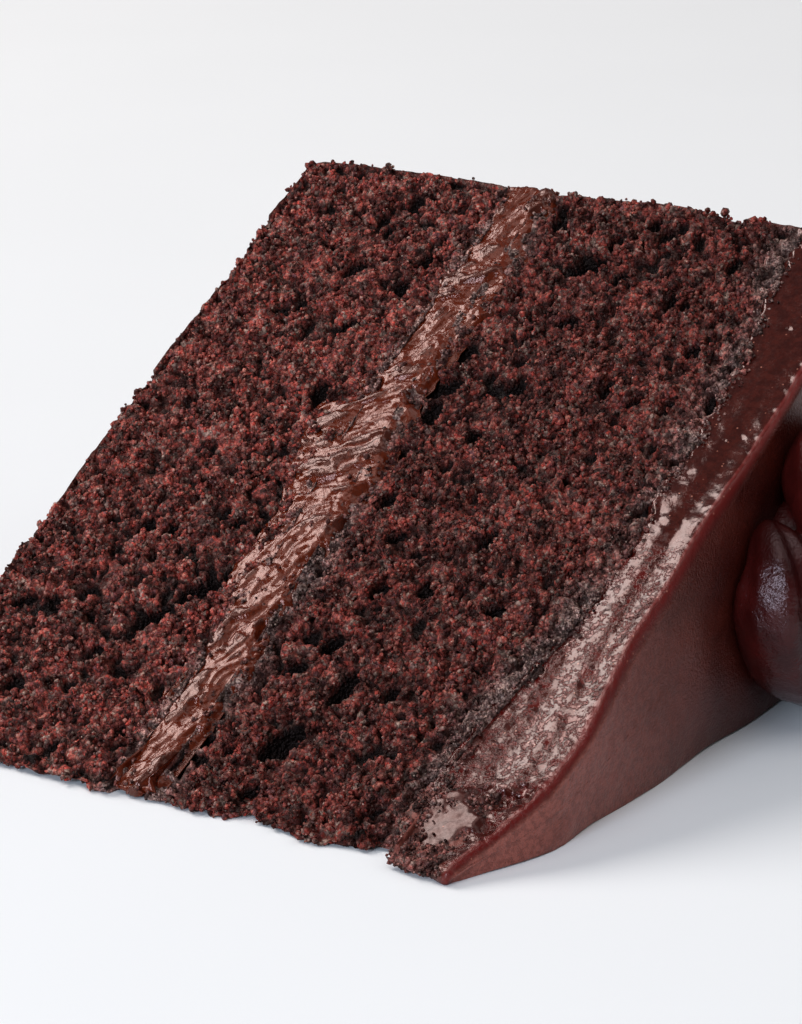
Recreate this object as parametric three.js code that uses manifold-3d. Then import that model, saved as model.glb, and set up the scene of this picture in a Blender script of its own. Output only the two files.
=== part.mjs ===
// A slice of chocolate layer cake, lying on one of its two cut faces.
//
// Two sponge layers with a filling between them, an iced top, and one piped swirl on the icing.
// +X is the cake's own height (baked base at the low end, icing at the high end), +Y runs from
// the point of the slice outwards along the face that it lies on, and +Z is up. Millimetres.

import * as THREE from 'three';
import Module from 'manifold-3d';
import { mergeVertices } from 'three/addons/utils/BufferGeometryUtils.js';

const wasm = await Module();
wasm.setup();

// ---- Driving dimensions ----

const CAKE_RADIUS = 101.6;
const SLICE_ANGLE = THREE.MathUtils.degToRad(30);

// Heights along the cake's axis
const FILLING_MIDDLE_AT_POINT = 36.6;
const FILLING_MIDDLE_AT_RIM = 33.9;
const FILLING_THICKNESS = 4.6;
const UPPER_SPONGE_TOP = 76.2;
const UPPER_SPONGE_DIP = 5.4;
const DIP_DISTANCE = 12;
const DIP_WIDTH = 20;
const UPPER_SPONGE_FALL_AT_RIM = 2.8;
const ICING_TOP = 84.0;
const ICING_THICKNESS = 8.8;
const ICING_DROP_AT_POINT = 5.6;

// Distances from the cake's axis over which the filling falls, the crown falls and the icing
// rises from its drop at the point
const FILLING_FALL = { from: 20, to: 60 };
const CROWN_FALL_FROM = 68;
const ICING_RISE = { from: -4, to: 15 };

// Gentle unevenness of each surface between the layers
const FILLING_RIPPLE = { height: 0.4, length: 54 };
const FILLING_FLOOR_RIPPLE = { height: 0.25, length: 39 };
const FILLING_ROOF_RIPPLE = { height: 0.25, length: 45 };
const CROWN_RIPPLE = { height: 0.25, length: 48 };
const ICING_RIPPLE = { height: 0.5, length: 26 };
const RIPPLE_STRETCH = 0.7;
const RIPPLE_SHIFT = 1;

// Rounding of the baked edges, the filling's lip and the icing's shoulder
const BASE_EDGE = 2.0;
const JOINT_EDGE = 3.2;
const CROWN_EDGE = 1.2;
const FILLING_LIP = 1.6;
const FILLING_SET_BACK = 0.9;
const ICING_FOOT = 0.6;
const ICING_SHOULDER = 7.6;
const CRUST_BULGE = 0.7;

// The point of the slice: how far it reaches along Y, and its rounding
const LOWER_POINT = { reach: -1.4, rounding: 0.8 };
const FILLING_POINT = { reach: -0.7, rounding: 0.6 };
const UPPER_POINT = { reach: 1.1, rounding: 0.5 };
const ICING_POINT = { reach: -0.9, rounding: 0.8 };
const BARE_POINT = { reach: 0, rounding: 0.4 };

// Piped swirl: one turn of a ribbed rope, with a twisted peak rising out of its middle
const SWIRL_DISTANCE = 66.7;
const SWIRL_RADIUS = 17.0;
const SWIRL_HEIGHT = 20.0;
const LEVEL_MARGIN = 6;
const ROPE_RADIUS = 6.4;
const ROPE_RIBS = 6;
const ROPE_GROOVE = 0.24;
const ROPE_TURN = THREE.MathUtils.degToRad(338);
const ROPE_START = THREE.MathUtils.degToRad(150);
const ROPE_TWIST = THREE.MathUtils.degToRad(110);
const ROPE_LIFT = 5.0;
const ROPE_CLIMB = 1.4;
const ROPE_NOSE = 0.8 * ROPE_RADIUS;
const PEAK_BASE_RADIUS = 9.8;
const PEAK_TIP_RADIUS = 0.7;
const PEAK_TAPER_FROM = 0.25;
const PEAK_TWIST = THREE.MathUtils.degToRad(150);
const PEAK_LEAN = 1.2;

// Clearance between pieces that touch
const GAP = 0.3;

// Facets
const POINT_STEPS = 4;
const FACE_STEPS = 12;
const FLUSH_STEP = 3;
const RIM_STEPS = 9;
const CAP_RING_SIZES = [0.3, 0.6, 0.8, 0.93];
const EDGE_STEPS = 3;
const WALL_STEPS = 3;
const ROPE_PIECES = 4;
const ROPE_PIECE_STEPS = 7;
const ROPE_PIECE_OVERLAP = 0.02;
const RIB_FACETS = 4;
const PEAK_STEPS = 8;

const UP_ANGLE = Math.PI / 2;
const CAP_CENTRE_SHARE = 0.62;

const { lerp, smoothstep } = THREE.MathUtils;

// ---- Materials ----

const SPONGE = new THREE.MeshStandardMaterial({ color: 0x4c2825, roughness: 0.85, metalness: 0 });
const FILLING = new THREE.MeshStandardMaterial({ color: 0x754a42, roughness: 0.4, metalness: 0 });
const ICING = new THREE.MeshStandardMaterial({ color: 0x45201b, roughness: 0.45, metalness: 0 });
const PIPING = new THREE.MeshStandardMaterial({ color: 0x3a1c19, roughness: 0.35, metalness: 0 });

// ---- Surfaces between the layers, as heights over a point of the slice ----

const swirlCentre = {
  y: SWIRL_DISTANCE * Math.cos(SLICE_ANGLE / 2),
  z: SWIRL_DISTANCE * Math.sin(SLICE_ANGLE / 2),
};

function ripple(y, z, { height, length }) {
  const turn = (2 * Math.PI) / length;
  return height * Math.sin(turn * y) * Math.cos(turn * RIPPLE_STRETCH * z + RIPPLE_SHIFT);
}

function fillingMiddle(y, z) {
  const outwards = smoothstep(Math.hypot(y, z), FILLING_FALL.from, FILLING_FALL.to);
  const level = lerp(FILLING_MIDDLE_AT_POINT, FILLING_MIDDLE_AT_RIM, outwards);
  return level + ripple(y, z, FILLING_RIPPLE);
}

function fillingFloor(y, z) {
  return fillingMiddle(y, z) - FILLING_THICKNESS / 2 + ripple(y, z, FILLING_FLOOR_RIPPLE);
}

function fillingRoof(y, z) {
  return fillingMiddle(y, z) + FILLING_THICKNESS / 2 + ripple(y, z, FILLING_ROOF_RIPPLE);
}

function spongeCrown(y, z) {
  const distance = Math.hypot(y, z);
  const dip = UPPER_SPONGE_DIP * Math.exp(-(((distance - DIP_DISTANCE) / DIP_WIDTH) ** 2));
  const fall = UPPER_SPONGE_FALL_AT_RIM * smoothstep(distance, CROWN_FALL_FROM, CAKE_RADIUS);
  return UPPER_SPONGE_TOP - dip - fall + ripple(y, z, CROWN_RIPPLE);
}

function icingTop(y, z) {
  const outwards = smoothstep(Math.hypot(y, z), ICING_RISE.from, ICING_RISE.to);
  const drop = ICING_DROP_AT_POINT * (1 - outwards);
  const fromSwirl = Math.hypot(y - swirlCentre.y, z - swirlCentre.z);
  const spread = smoothstep(fromSwirl, SWIRL_RADIUS, SWIRL_RADIUS + LEVEL_MARGIN);
  return ICING_TOP - drop + spread * ripple(y, z, ICING_RIPPLE);
}

// ---- Layers ----

// The slice's outline across the cake's axis, counter-clockwise seen from the iced side. The
// two cut faces have their spots at the same distances in every outline, so that the facets of
// two layers that meet lie side by side.
function sliceOutline(rimRadius, point) {
  const middleY = point.reach + point.rounding;
  const outline = [];
  for (let i = 0; i <= POINT_STEPS; i += 1) {
    const angle = lerp(UP_ANGLE + SLICE_ANGLE, 3 * UP_ANGLE, i / POINT_STEPS);
    outline.push([
      middleY + point.rounding * Math.cos(angle),
      point.rounding * (1 + Math.sin(angle)),
    ]);
  }
  const nose = outline[0];
  const faceRadius = (step) => (CAKE_RADIUS * step) / FACE_STEPS;
  const onCutFace = (radius) => [radius * Math.cos(SLICE_ANGLE), radius * Math.sin(SLICE_ANGLE)];
  for (let step = 1; step < FACE_STEPS; step += 1) {
    outline.push([faceRadius(step), 0]);
  }
  for (let i = 0; i <= RIM_STEPS; i += 1) {
    const angle = SLICE_ANGLE * (i / RIM_STEPS);
    outline.push([rimRadius * Math.cos(angle), rimRadius * Math.sin(angle)]);
  }
  for (let step = FACE_STEPS - 1; step >= FLUSH_STEP; step -= 1) {
    outline.push(onCutFace(faceRadius(step)));
  }
  const flush = onCutFace(faceRadius(FLUSH_STEP));
  for (let step = FLUSH_STEP - 1; step > 0; step -= 1) {
    const share = step / FLUSH_STEP;
    outline.push([lerp(nose[0], flush[0], share), lerp(nose[1], flush[1], share)]);
  }
  return outline;
}

// Steps up a layer's wall, as a share of its thickness and how far the rim is drawn in.
function wallSteps(thickness, lowEdge, highEdge, bulge, setBack) {
  const steps = [];
  for (let i = 0; i <= EDGE_STEPS; i += 1) {
    const angle = UP_ANGLE * (i / EDGE_STEPS);
    steps.push({
      share: (lowEdge * (1 - Math.cos(angle))) / thickness,
      inset: setBack + lowEdge * (1 - Math.sin(angle)),
    });
  }
  for (let i = 1; i < WALL_STEPS; i += 1) {
    const share = lerp(lowEdge, thickness - highEdge, i / WALL_STEPS) / thickness;
    steps.push({ share, inset: setBack - bulge * Math.sin(Math.PI * share) });
  }
  for (let i = 0; i <= EDGE_STEPS; i += 1) {
    const angle = UP_ANGLE * (i / EDGE_STEPS);
    steps.push({
      share: 1 - (highEdge * (1 - Math.sin(angle))) / thickness,
      inset: setBack + highEdge * (1 - Math.cos(angle)),
    });
  }
  return steps;
}

// Closes a stack of rings of equal length, from a first centre to a last one. From the ring
// mirroredFrom on, the squares between two rings are split along their other diagonal.
function stackGeometry(first, rings, last, mirroredFrom = rings.length) {
  const count = rings[0].length;
  const positions = [first, ...rings.flat(), last].flat();
  const at = (ring, i) => 1 + ring * count + (i % count);
  const end = 1 + rings.length * count;
  const index = [];
  for (let i = 0; i < count; i += 1) {
    index.push(0, at(0, i + 1), at(0, i));
    for (let ring = 0; ring + 1 < rings.length; ring += 1) {
      const near = [at(ring, i), at(ring, i + 1)];
      const far = [at(ring + 1, i), at(ring + 1, i + 1)];
      if (ring < mirroredFrom) {
        index.push(near[0], near[1], far[1], near[0], far[1], far[0]);
      } else {
        index.push(near[0], near[1], far[0], near[1], far[1], far[0]);
      }
    }
    index.push(at(rings.length - 1, i), at(rings.length - 1, i + 1), end);
  }
  const geometry = new THREE.BufferGeometry();
  geometry.setAttribute('position', new THREE.Float32BufferAttribute(positions, 3));
  geometry.setIndex(index);
  geometry.computeVertexNormals();
  return geometry;
}

// One layer of the slice: a floor and a roof of uneven height, and a wall with rounded edges.
function layerGeometry(floorAt, roofAt, walls, point) {
  const middle = [
    CAKE_RADIUS * CAP_CENTRE_SHARE * Math.cos(SLICE_ANGLE / 2),
    CAKE_RADIUS * CAP_CENTRE_SHARE * Math.sin(SLICE_ANGLE / 2),
  ];
  const place = ([y, z], share) => [lerp(floorAt(y, z), roofAt(y, z), share), y, z];
  const capRing = (outline, size, share) => outline.map(([y, z]) => (
    place([lerp(middle[0], y, size), lerp(middle[1], z, size)], share)
  ));
  const whole = sliceOutline(CAKE_RADIUS - ICING_SHOULDER, BARE_POINT);
  const rings = [];
  for (const size of CAP_RING_SIZES) {
    rings.push(capRing(whole, size, 0));
  }
  for (const { share, inset } of walls) {
    rings.push(sliceOutline(CAKE_RADIUS - inset, point).map((spot) => place(spot, share)));
  }
  for (const size of CAP_RING_SIZES.toReversed()) {
    rings.push(capRing(whole, size, 1));
  }
  const roofRing = CAP_RING_SIZES.length + walls.length - 1;
  return stackGeometry(place(middle, 0), rings, place(middle, 1), roofRing);
}

function lowerSponge() {
  const roof = (y, z) => fillingFloor(y, z) - GAP / 2;
  const walls = wallSteps(
    FILLING_MIDDLE_AT_RIM - FILLING_THICKNESS / 2, BASE_EDGE, JOINT_EDGE, CRUST_BULGE, CRUST_BULGE,
  );
  return layerGeometry(() => 0, roof, walls, LOWER_POINT);
}

function filling() {
  const floor = (y, z) => fillingFloor(y, z) + GAP / 2;
  const roof = (y, z) => fillingRoof(y, z) - GAP / 2;
  const walls = wallSteps(FILLING_THICKNESS, FILLING_LIP, FILLING_LIP, 0, FILLING_SET_BACK);
  return layerGeometry(floor, roof, walls, FILLING_POINT);
}

function upperSponge() {
  const floor = (y, z) => fillingRoof(y, z) + GAP / 2;
  const roof = (y, z) => spongeCrown(y, z) - GAP / 2;
  const thickness = UPPER_SPONGE_TOP - FILLING_MIDDLE_AT_RIM - FILLING_THICKNESS / 2;
  const walls = wallSteps(thickness, JOINT_EDGE, CROWN_EDGE, CRUST_BULGE, CRUST_BULGE);
  return layerGeometry(floor, roof, walls, UPPER_POINT);
}

function icing() {
  const floor = (y, z) => spongeCrown(y, z) + GAP / 2;
  const walls = wallSteps(ICING_THICKNESS, ICING_FOOT, ICING_SHOULDER, 0, 0);
  return layerGeometry(floor, icingTop, walls, ICING_POINT);
}

// ---- Piped swirl ----

function ribbedRadius(angle) {
  return 1 - ROPE_GROOVE * (1 - Math.abs(Math.cos((ROPE_RIBS / 2) * angle)));
}

function manifoldOf(geometry) {
  const plain = geometry.clone();
  plain.deleteAttribute('normal');
  const merged = mergeVertices(plain);
  return new wasm.Manifold(new wasm.Mesh({
    numProp: 3,
    vertProperties: new Float32Array(merged.attributes.position.array),
    triVerts: new Uint32Array(merged.index.array),
  }));
}

function geometryOf(manifold) {
  const mesh = manifold.getMesh();
  const geometry = new THREE.BufferGeometry();
  geometry.setAttribute('position', new THREE.BufferAttribute(mesh.vertProperties, 3));
  geometry.setIndex(new THREE.BufferAttribute(mesh.triVerts, 1));
  geometry.computeVertexNormals();
  return geometry;
}

// A section of the rope at a share of its turn: round nosed at both ends, ribbed all along.
function ropeRing(share, size) {
  const around = ROPE_START + ROPE_TURN * share;
  const radius = ROPE_RADIUS * size;
  const lift = ROPE_LIFT + ROPE_CLIMB * share;
  const reach = SWIRL_RADIUS - ROPE_RADIUS;
  const ring = [];
  for (let i = 0; i < ROPE_RIBS * RIB_FACETS; i += 1) {
    const angle = (2 * Math.PI * i) / (ROPE_RIBS * RIB_FACETS);
    const spread = radius * ribbedRadius(angle);
    const turned = angle + ROPE_TWIST * share;
    const outwards = reach + spread * Math.cos(turned);
    ring.push([
      lift + spread * Math.sin(turned),
      outwards * Math.cos(around),
      outwards * Math.sin(around),
    ]);
  }
  return ring;
}

function ropeMiddle(share) {
  const around = ROPE_START + ROPE_TURN * share;
  const reach = SWIRL_RADIUS - ROPE_RADIUS;
  return [ROPE_LIFT + ROPE_CLIMB * share, reach * Math.cos(around), reach * Math.sin(around)];
}

// The rope's noses: sections that shrink along a quarter circle past each end.
function noseShares(end, direction) {
  const reach = SWIRL_RADIUS - ROPE_RADIUS;
  const length = ROPE_NOSE / (reach * ROPE_TURN);
  const noses = [];
  for (let i = 1; i < EDGE_STEPS; i += 1) {
    const angle = UP_ANGLE * (i / EDGE_STEPS);
    noses.push({ share: end + direction * length * Math.sin(angle), size: Math.cos(angle) });
  }
  return { noses, last: end + direction * length };
}

function ropeSolid() {
  let rope = null;
  for (let piece = 0; piece < ROPE_PIECES; piece += 1) {
    const from = Math.max(0, piece / ROPE_PIECES - ROPE_PIECE_OVERLAP);
    const to = (piece + 1) / ROPE_PIECES;
    const sections = [];
    let start = from;
    let end = to;
    if (piece === 0) {
      const nose = noseShares(0, -1);
      sections.push(...nose.noses.reverse());
      start = nose.last;
    }
    for (let i = 0; i <= ROPE_PIECE_STEPS; i += 1) {
      sections.push({ share: lerp(from, to, i / ROPE_PIECE_STEPS), size: 1 });
    }
    if (piece === ROPE_PIECES - 1) {
      const nose = noseShares(1, 1);
      sections.push(...nose.noses);
      end = nose.last;
    }
    const rings = sections.map(({ share, size }) => ropeRing(share, size).reverse());
    const solid = manifoldOf(stackGeometry(ropeMiddle(start), rings, ropeMiddle(end)));
    rope = rope ? rope.add(solid) : solid;
  }
  return rope;
}

function peakRing(share, size) {
  const ring = [];
  const radius = size * lerp(PEAK_BASE_RADIUS, PEAK_TIP_RADIUS, smoothstep(share, PEAK_TAPER_FROM, 1));
  const lean = PEAK_LEAN * share * share;
  for (let i = 0; i < ROPE_RIBS * RIB_FACETS; i += 1) {
    const angle = (2 * Math.PI * i) / (ROPE_RIBS * RIB_FACETS);
    const spread = radius * ribbedRadius(angle);
    const turned = angle + PEAK_TWIST * share;
    ring.push([
      SWIRL_HEIGHT * share,
      spread * Math.cos(turned) + lean,
      spread * Math.sin(turned),
    ]);
  }
  return ring;
}

function peakSolid() {
  const rings = [];
  for (let i = 0; i <= PEAK_STEPS; i += 1) {
    rings.push(peakRing(i / PEAK_STEPS, 1));
  }
  return manifoldOf(stackGeometry([0, 0, 0], rings, [SWIRL_HEIGHT, PEAK_LEAN, 0]));
}

// A block below the swirl that trims its underside flat.
function bedSolid() {
  const depth = 2 * ROPE_RADIUS;
  const block = new THREE.BoxGeometry(depth, 3 * SWIRL_RADIUS, 3 * SWIRL_RADIUS);
  block.translate(-depth / 2, 0, 0);
  block.deleteAttribute('uv');
  return manifoldOf(block);
}

function swirl() {
  return geometryOf(ropeSolid().add(peakSolid()).subtract(bedSolid()));
}

// ---- The slice ----

const slice = new THREE.Group();

function addPiece(name, geometry, material) {
  const piece = new THREE.Mesh(geometry, material);
  piece.name = name;
  slice.add(piece);
  return piece;
}

addPiece('sponge_lower', lowerSponge(), SPONGE);
addPiece('filling', filling(), FILLING);
addPiece('sponge_upper', upperSponge(), SPONGE);
addPiece('icing_top', icing(), ICING);
addPiece('piped_swirl', swirl(), PIPING).position.set(
  ICING_TOP + GAP, swirlCentre.y, swirlCentre.z,
);

// The origin is in the middle of the footprint, on the surface that the slice lies on.
const bounds = new THREE.Box3().setFromObject(slice);
const centre = bounds.getCenter(new THREE.Vector3());
slice.position.set(-centre.x, -centre.y, -bounds.min.z);

export default slice;
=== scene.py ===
"""The looks of a slice of chocolate layer cake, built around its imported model.

The slice lies on one of its two cut faces. In cake coordinates, +X is the cake's own height
from the baked base to the icing, +Y runs from the point of the slice outwards along the face
that it lies on, and +Z is up. Sizes are in millimetres until a mesh is made.
"""

import logging
import math
from collections.abc import Callable
from dataclasses import dataclass, field
from enum import Enum

import bpy
import numpy as np
from mathutils import Matrix, Vector


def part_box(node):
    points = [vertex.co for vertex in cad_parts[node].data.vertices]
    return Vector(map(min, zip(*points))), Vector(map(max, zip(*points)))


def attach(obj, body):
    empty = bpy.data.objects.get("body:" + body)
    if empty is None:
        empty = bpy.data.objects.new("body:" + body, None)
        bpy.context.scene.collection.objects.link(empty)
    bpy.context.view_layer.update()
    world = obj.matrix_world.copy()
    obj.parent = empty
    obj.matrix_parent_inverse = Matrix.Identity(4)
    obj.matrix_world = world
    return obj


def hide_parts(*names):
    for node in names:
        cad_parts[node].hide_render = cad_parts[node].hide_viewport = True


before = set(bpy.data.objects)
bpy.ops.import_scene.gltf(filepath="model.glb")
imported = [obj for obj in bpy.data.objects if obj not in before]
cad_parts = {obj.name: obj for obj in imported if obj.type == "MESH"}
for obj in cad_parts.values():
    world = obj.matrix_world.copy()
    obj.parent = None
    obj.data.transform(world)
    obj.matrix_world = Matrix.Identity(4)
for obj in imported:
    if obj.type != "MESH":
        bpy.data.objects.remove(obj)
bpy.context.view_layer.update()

LOG = logging.getLogger("cake_slice")
Array = np.ndarray
Number = Array | float
Surface = Callable[[Array, Array], Array]
Colour = tuple[float, float, float]
Span = tuple[float, float]

WHITE: Colour = (1.0, 1.0, 1.0)
MM = 0.001
CAKE_RADIUS = 101.6
SLICE_ANGLE = math.radians(30.0)

# Odd factors that set a noise field's cells, seeds and layers far apart
CELL_FACTORS = (73856093, 19349663, 83492791)
SEED_FACTOR = 26544357
CHANNEL_FACTOR = 9754321
MIX_FACTOR = 0x45D9F3B
WORD = 0xFFFFFFFF
OCTAVE_STEP = 17
ROUGH_GAIN = 1.4

# How the layers' skins are closed: the rings of a covered floor or roof as shares of its outline,
# how far a wall's edge is tucked in, and how gently corners and smears are eased
COVERED_RINGS = (0.9, 0.7, 0.4)
RING_GATHER = 1.1
SEAM_FROM = 0.9
TUCK = 2.6
SMEAR_EASING = 6
CORNER_EASING = 4
MIDDLE_SHARE = 0.62


# ---------------------------------------------------------------- numbers and noise


def smooth_step(value: Number, low: Number, high: Number) -> Array:
    """Rises smoothly from 0 at low to 1 at high.

    Args:
        value: the numbers to map.
        low: where the rise starts.
        high: where it ends.

    Returns:
        The mapped numbers, from 0 to 1.
    """
    share = np.clip((value - low) / (high - low), 0.0, 1.0)
    return share * share * (3.0 - 2.0 * share)


def smooth_fall(value: Number, low: Number, high: Number) -> Array:
    """Falls smoothly from 1 at low to 0 at high."""
    return 1.0 - smooth_step(value, low, high)


def between(value: Number, rise: Span, fall: Span) -> Array:
    """Rises smoothly over one span and falls smoothly over another."""
    return smooth_step(value, *rise) * smooth_fall(value, *fall)


def lifted(value: Number, lowest: float) -> Number:
    """Squeezes numbers from 0 to 1 into the stretch from lowest to 1."""
    return lowest + (1.0 - lowest) * value


def hill(value: Array, middle: float, width: Number) -> Array:
    """A smooth hill of height 1 round a middle, falling to a third of that at its width."""
    return np.exp(-(((value - middle) / width) ** 2))


def bowl(away: Array, width: Number) -> Array:
    """A round dip: 1 in its middle, 0 from its width outwards."""
    return np.clip(1.0 - (away / width) ** 2, 0.0, 1.0)


def on_sheet(first: Array, second: Array) -> Array:
    """Places on a flat sheet, with a third number of 0, for noise that has no depth."""
    return np.stack([first, second, 0.0 * first], axis=-1)


def on_line(along: Array) -> Array:
    """Places on a straight line, for noise that changes along it only."""
    return on_sheet(along, 0.0 * along)


def on_plate(spots: Array) -> Array:
    """Lifts places below the face that the slice lies on up to it, in the array itself."""
    spots[..., 2] = np.maximum(spots[..., 2], 0.0)
    return spots


def unit(vectors: Array) -> Array:
    """Scales vectors to length 1, along their last axis."""
    return vectors / np.maximum(np.linalg.norm(vectors, axis=-1, keepdims=True), 1e-9)


@dataclass(frozen=True)
class CellHit:
    """What a spot finds in a field of scattered cells.

    near is the distance to the closest cell centre and gap the extra distance to the next one,
    both in cell sizes; away points from that centre to the spot; pick is the cell's own number.
    """

    near: Array
    gap: Array
    away: Array
    pick: Array


@dataclass(frozen=True)
class Grain:
    """A repeatable field of noise, the same for the same seed."""

    seed: int

    def number(self, cells: Array, channel: int) -> Array:
        """Gives each whole-numbered cell a number from 0 to 1.

        Args:
            cells: whole numbers, three along the last axis.
            channel: which of the cell's numbers is wanted.

        Returns:
            One number for each cell.
        """
        whole = cells.astype(np.int64)
        mixed = self.seed * SEED_FACTOR + channel * CHANNEL_FACTOR
        for axis, factor in enumerate(CELL_FACTORS):
            mixed = mixed ^ (whole[..., axis] * factor)
        mixed = mixed & WORD
        for _ in range(2):
            mixed = ((mixed ^ (mixed >> 16)) * MIX_FACTOR) & WORD
        return (mixed ^ (mixed >> 16)) / (WORD + 1.0)

    def soft(self, spots: Array, size: float, channel: int = 0) -> Array:
        """Smooth noise from -1 to 1.

        Args:
            spots: places, three numbers along the last axis.
            size: the distance over which the noise changes.
            channel: which of the field's layers is wanted.

        Returns:
            One number for each spot.
        """
        scaled = spots / size
        base = np.floor(scaled).astype(np.int64)
        share = scaled - base
        weight = share * share * share * (share * (share * 6.0 - 15.0) + 10.0)
        total = np.zeros(spots.shape[:-1])
        for corner in np.ndindex(2, 2, 2):
            part = np.ones(spots.shape[:-1])
            for axis in range(3):
                w = weight[..., axis]
                part = part * (w if corner[axis] else 1.0 - w)
            total += part * self.number(base + np.array(corner), channel)
        return total * 2.0 - 1.0

    def rough(self, spots: Array, size: float, octaves: int, channel: int = 0) -> Array:
        """Layered noise, each layer half the size and height of the one before.

        Args:
            spots: places, three numbers along the last axis.
            size: the distance over which the broadest layer changes.
            octaves: how many layers.
            channel: which of the field's layers is wanted.

        Returns:
            One number for each spot, mostly from -1 to 1.
        """
        total = np.zeros(spots.shape[:-1])
        height = 1.0
        reach = 0.0
        for octave in range(octaves):
            total += height * self.soft(spots, size, channel + OCTAVE_STEP * octave)
            reach += height
            size *= 0.5
            height *= 0.5
        return total * (ROUGH_GAIN / reach)

    def bend(self, spots: Array, size: float, channel: int) -> Array:
        """Soft noise with a direction: three layers of it along the last axis."""
        return np.stack([self.soft(spots, size, channel + axis) for axis in range(3)], axis=-1)

    def cells(self, spots: Array, size: float, channel: int = 0) -> CellHit:
        """Finds each spot's nearest cell in a field of scattered cell centres.

        Args:
            spots: places, three numbers along the last axis.
            size: the average distance between cell centres.
            channel: which of the field's layers is wanted.

        Returns:
            The nearest cells, as a CellHit.
        """
        scaled = spots / size
        base = np.floor(scaled).astype(np.int64)
        near = np.full(spots.shape[:-1], 9.0)
        second = np.full(spots.shape[:-1], 9.0)
        away = np.zeros(spots.shape)
        pick = np.zeros(spots.shape[:-1])
        for step in np.ndindex(3, 3, 3):
            cell = base + np.array(step) - 1
            centre = cell + np.stack(
                [self.number(cell, channel + 3 + axis) for axis in range(3)], axis=-1
            )
            offset = scaled - centre
            distance = np.linalg.norm(offset, axis=-1)
            closer = distance < near
            second = np.where(closer, near, np.minimum(second, distance))
            near = np.where(closer, distance, near)
            away = np.where(closer[..., None], offset, away)
            pick = np.where(closer, self.number(cell, channel + 7), pick)
        return CellHit(near, second - near, away * size, pick)


# ---------------------------------------------------------------- the slice's own geometry


@dataclass(frozen=True)
class CakePlace:
    """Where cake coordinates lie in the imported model's frame."""

    base: float
    point: float
    floor: float

    @classmethod
    def from_frame(cls) -> "CakePlace":
        """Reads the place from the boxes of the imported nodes."""
        low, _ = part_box("sponge_lower")
        _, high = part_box("icing_top")
        return cls(base=low[0], point=high[1] - CAKE_RADIUS * MM, floor=0.0)

    def to_frame(self, spots: Array) -> Array:
        """Turns cake coordinates in millimetres into the frame's metres."""
        return spots * MM + np.array([self.base, self.point, self.floor])


@dataclass(frozen=True)
class Ripple:
    """A low wave across the slice."""

    height: float
    length: float
    stretch: float = 0.7
    shift: float = 1.0

    def at(self, y: Array, z: Array) -> Array:
        """Height of the wave."""
        turn = 2.0 * math.pi / self.length
        return self.height * np.sin(turn * y) * np.cos(turn * self.stretch * z + self.shift)


@dataclass(frozen=True)
class Layering:
    """The surfaces between the layers, as heights over a spot across the cake's axis.

    A span holds the two distances from the axis between which a surface falls or rises.
    """

    filling_middle_at_point: float = 36.6
    filling_middle_at_rim: float = 33.9
    filling_fall: Span = (20.0, 60.0)
    filling_thickness: float = 4.6
    crown: float = 76.2
    crown_dip: float = 5.4
    dip_distance: float = 12.0
    dip_width: float = 20.0
    crown_fall: float = 2.8
    crown_fall_from: float = 68.0
    icing_top: float = 84.0
    icing_drop: float = 5.6
    icing_rise: Span = (-4.0, 15.0)
    swirl_distance: float = 66.7
    swirl_radius: float = 17.0
    level_margin: float = 6.0
    middle_ripple: Ripple = Ripple(0.4, 54.0)
    floor_ripple: Ripple = Ripple(0.25, 39.0)
    roof_ripple: Ripple = Ripple(0.25, 45.0)
    crown_ripple: Ripple = Ripple(0.25, 48.0)
    icing_ripple: Ripple = Ripple(0.5, 26.0)

    def swirl_centre(self) -> tuple[float, float]:
        """The middle of the piped swirl, across the cake's axis."""
        half = SLICE_ANGLE / 2.0
        return self.swirl_distance * math.cos(half), self.swirl_distance * math.sin(half)

    def filling_middle(self, y: Array, z: Array) -> Array:
        """Height of the middle of the filling."""
        outwards = smooth_step(np.hypot(y, z), *self.filling_fall)
        rise = self.filling_middle_at_rim - self.filling_middle_at_point
        return self.filling_middle_at_point + rise * outwards + self.middle_ripple.at(y, z)

    def filling_floor(self, y: Array, z: Array) -> Array:
        """Height of the top of the lower sponge."""
        low = self.filling_middle(y, z) - self.filling_thickness / 2.0
        return low + self.floor_ripple.at(y, z)

    def filling_roof(self, y: Array, z: Array) -> Array:
        """Height of the underside of the upper sponge."""
        high = self.filling_middle(y, z) + self.filling_thickness / 2.0
        return high + self.roof_ripple.at(y, z)

    def sponge_crown(self, y: Array, z: Array) -> Array:
        """Height of the top of the upper sponge.

        Args:
            y: places along Y.
            z: places along Z.

        Returns:
            A height for each place.
        """
        distance = np.hypot(y, z)
        dip = self.crown_dip * hill(distance, self.dip_distance, self.dip_width)
        fall = self.crown_fall * smooth_step(distance, self.crown_fall_from, CAKE_RADIUS)
        return self.crown - dip - fall + self.crown_ripple.at(y, z)

    def icing_face(self, y: Array, z: Array) -> Array:
        """Height of the top of the icing, level under the swirl.

        Args:
            y: places along Y.
            z: places along Z.

        Returns:
            A height for each place.
        """
        drop = self.icing_drop * smooth_fall(np.hypot(y, z), *self.icing_rise)
        swirl_y, swirl_z = self.swirl_centre()
        from_swirl = np.hypot(y - swirl_y, z - swirl_z)
        spread = smooth_step(from_swirl, self.swirl_radius, self.swirl_radius + self.level_margin)
        return self.icing_top - drop + spread * self.icing_ripple.at(y, z)


LAYERING = Layering()


def point_reach(x: Array) -> Array:
    """How far the ragged point of the slice reaches along Y, by height in the cake."""
    heights = (0.0, 19.0, 32.0, 36.0, 46.0, 49.5, 53.0, 60.0, 66.0, 69.5, 72.5, 75.0, 90.0)
    reaches = (-1.3, -1.8, -1.9, -0.7, 0.2, 1.7, 0.5, -0.3, 1.0, 3.1, 2.6, -0.9, -0.9)
    return np.interp(x, heights, reaches)


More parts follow.
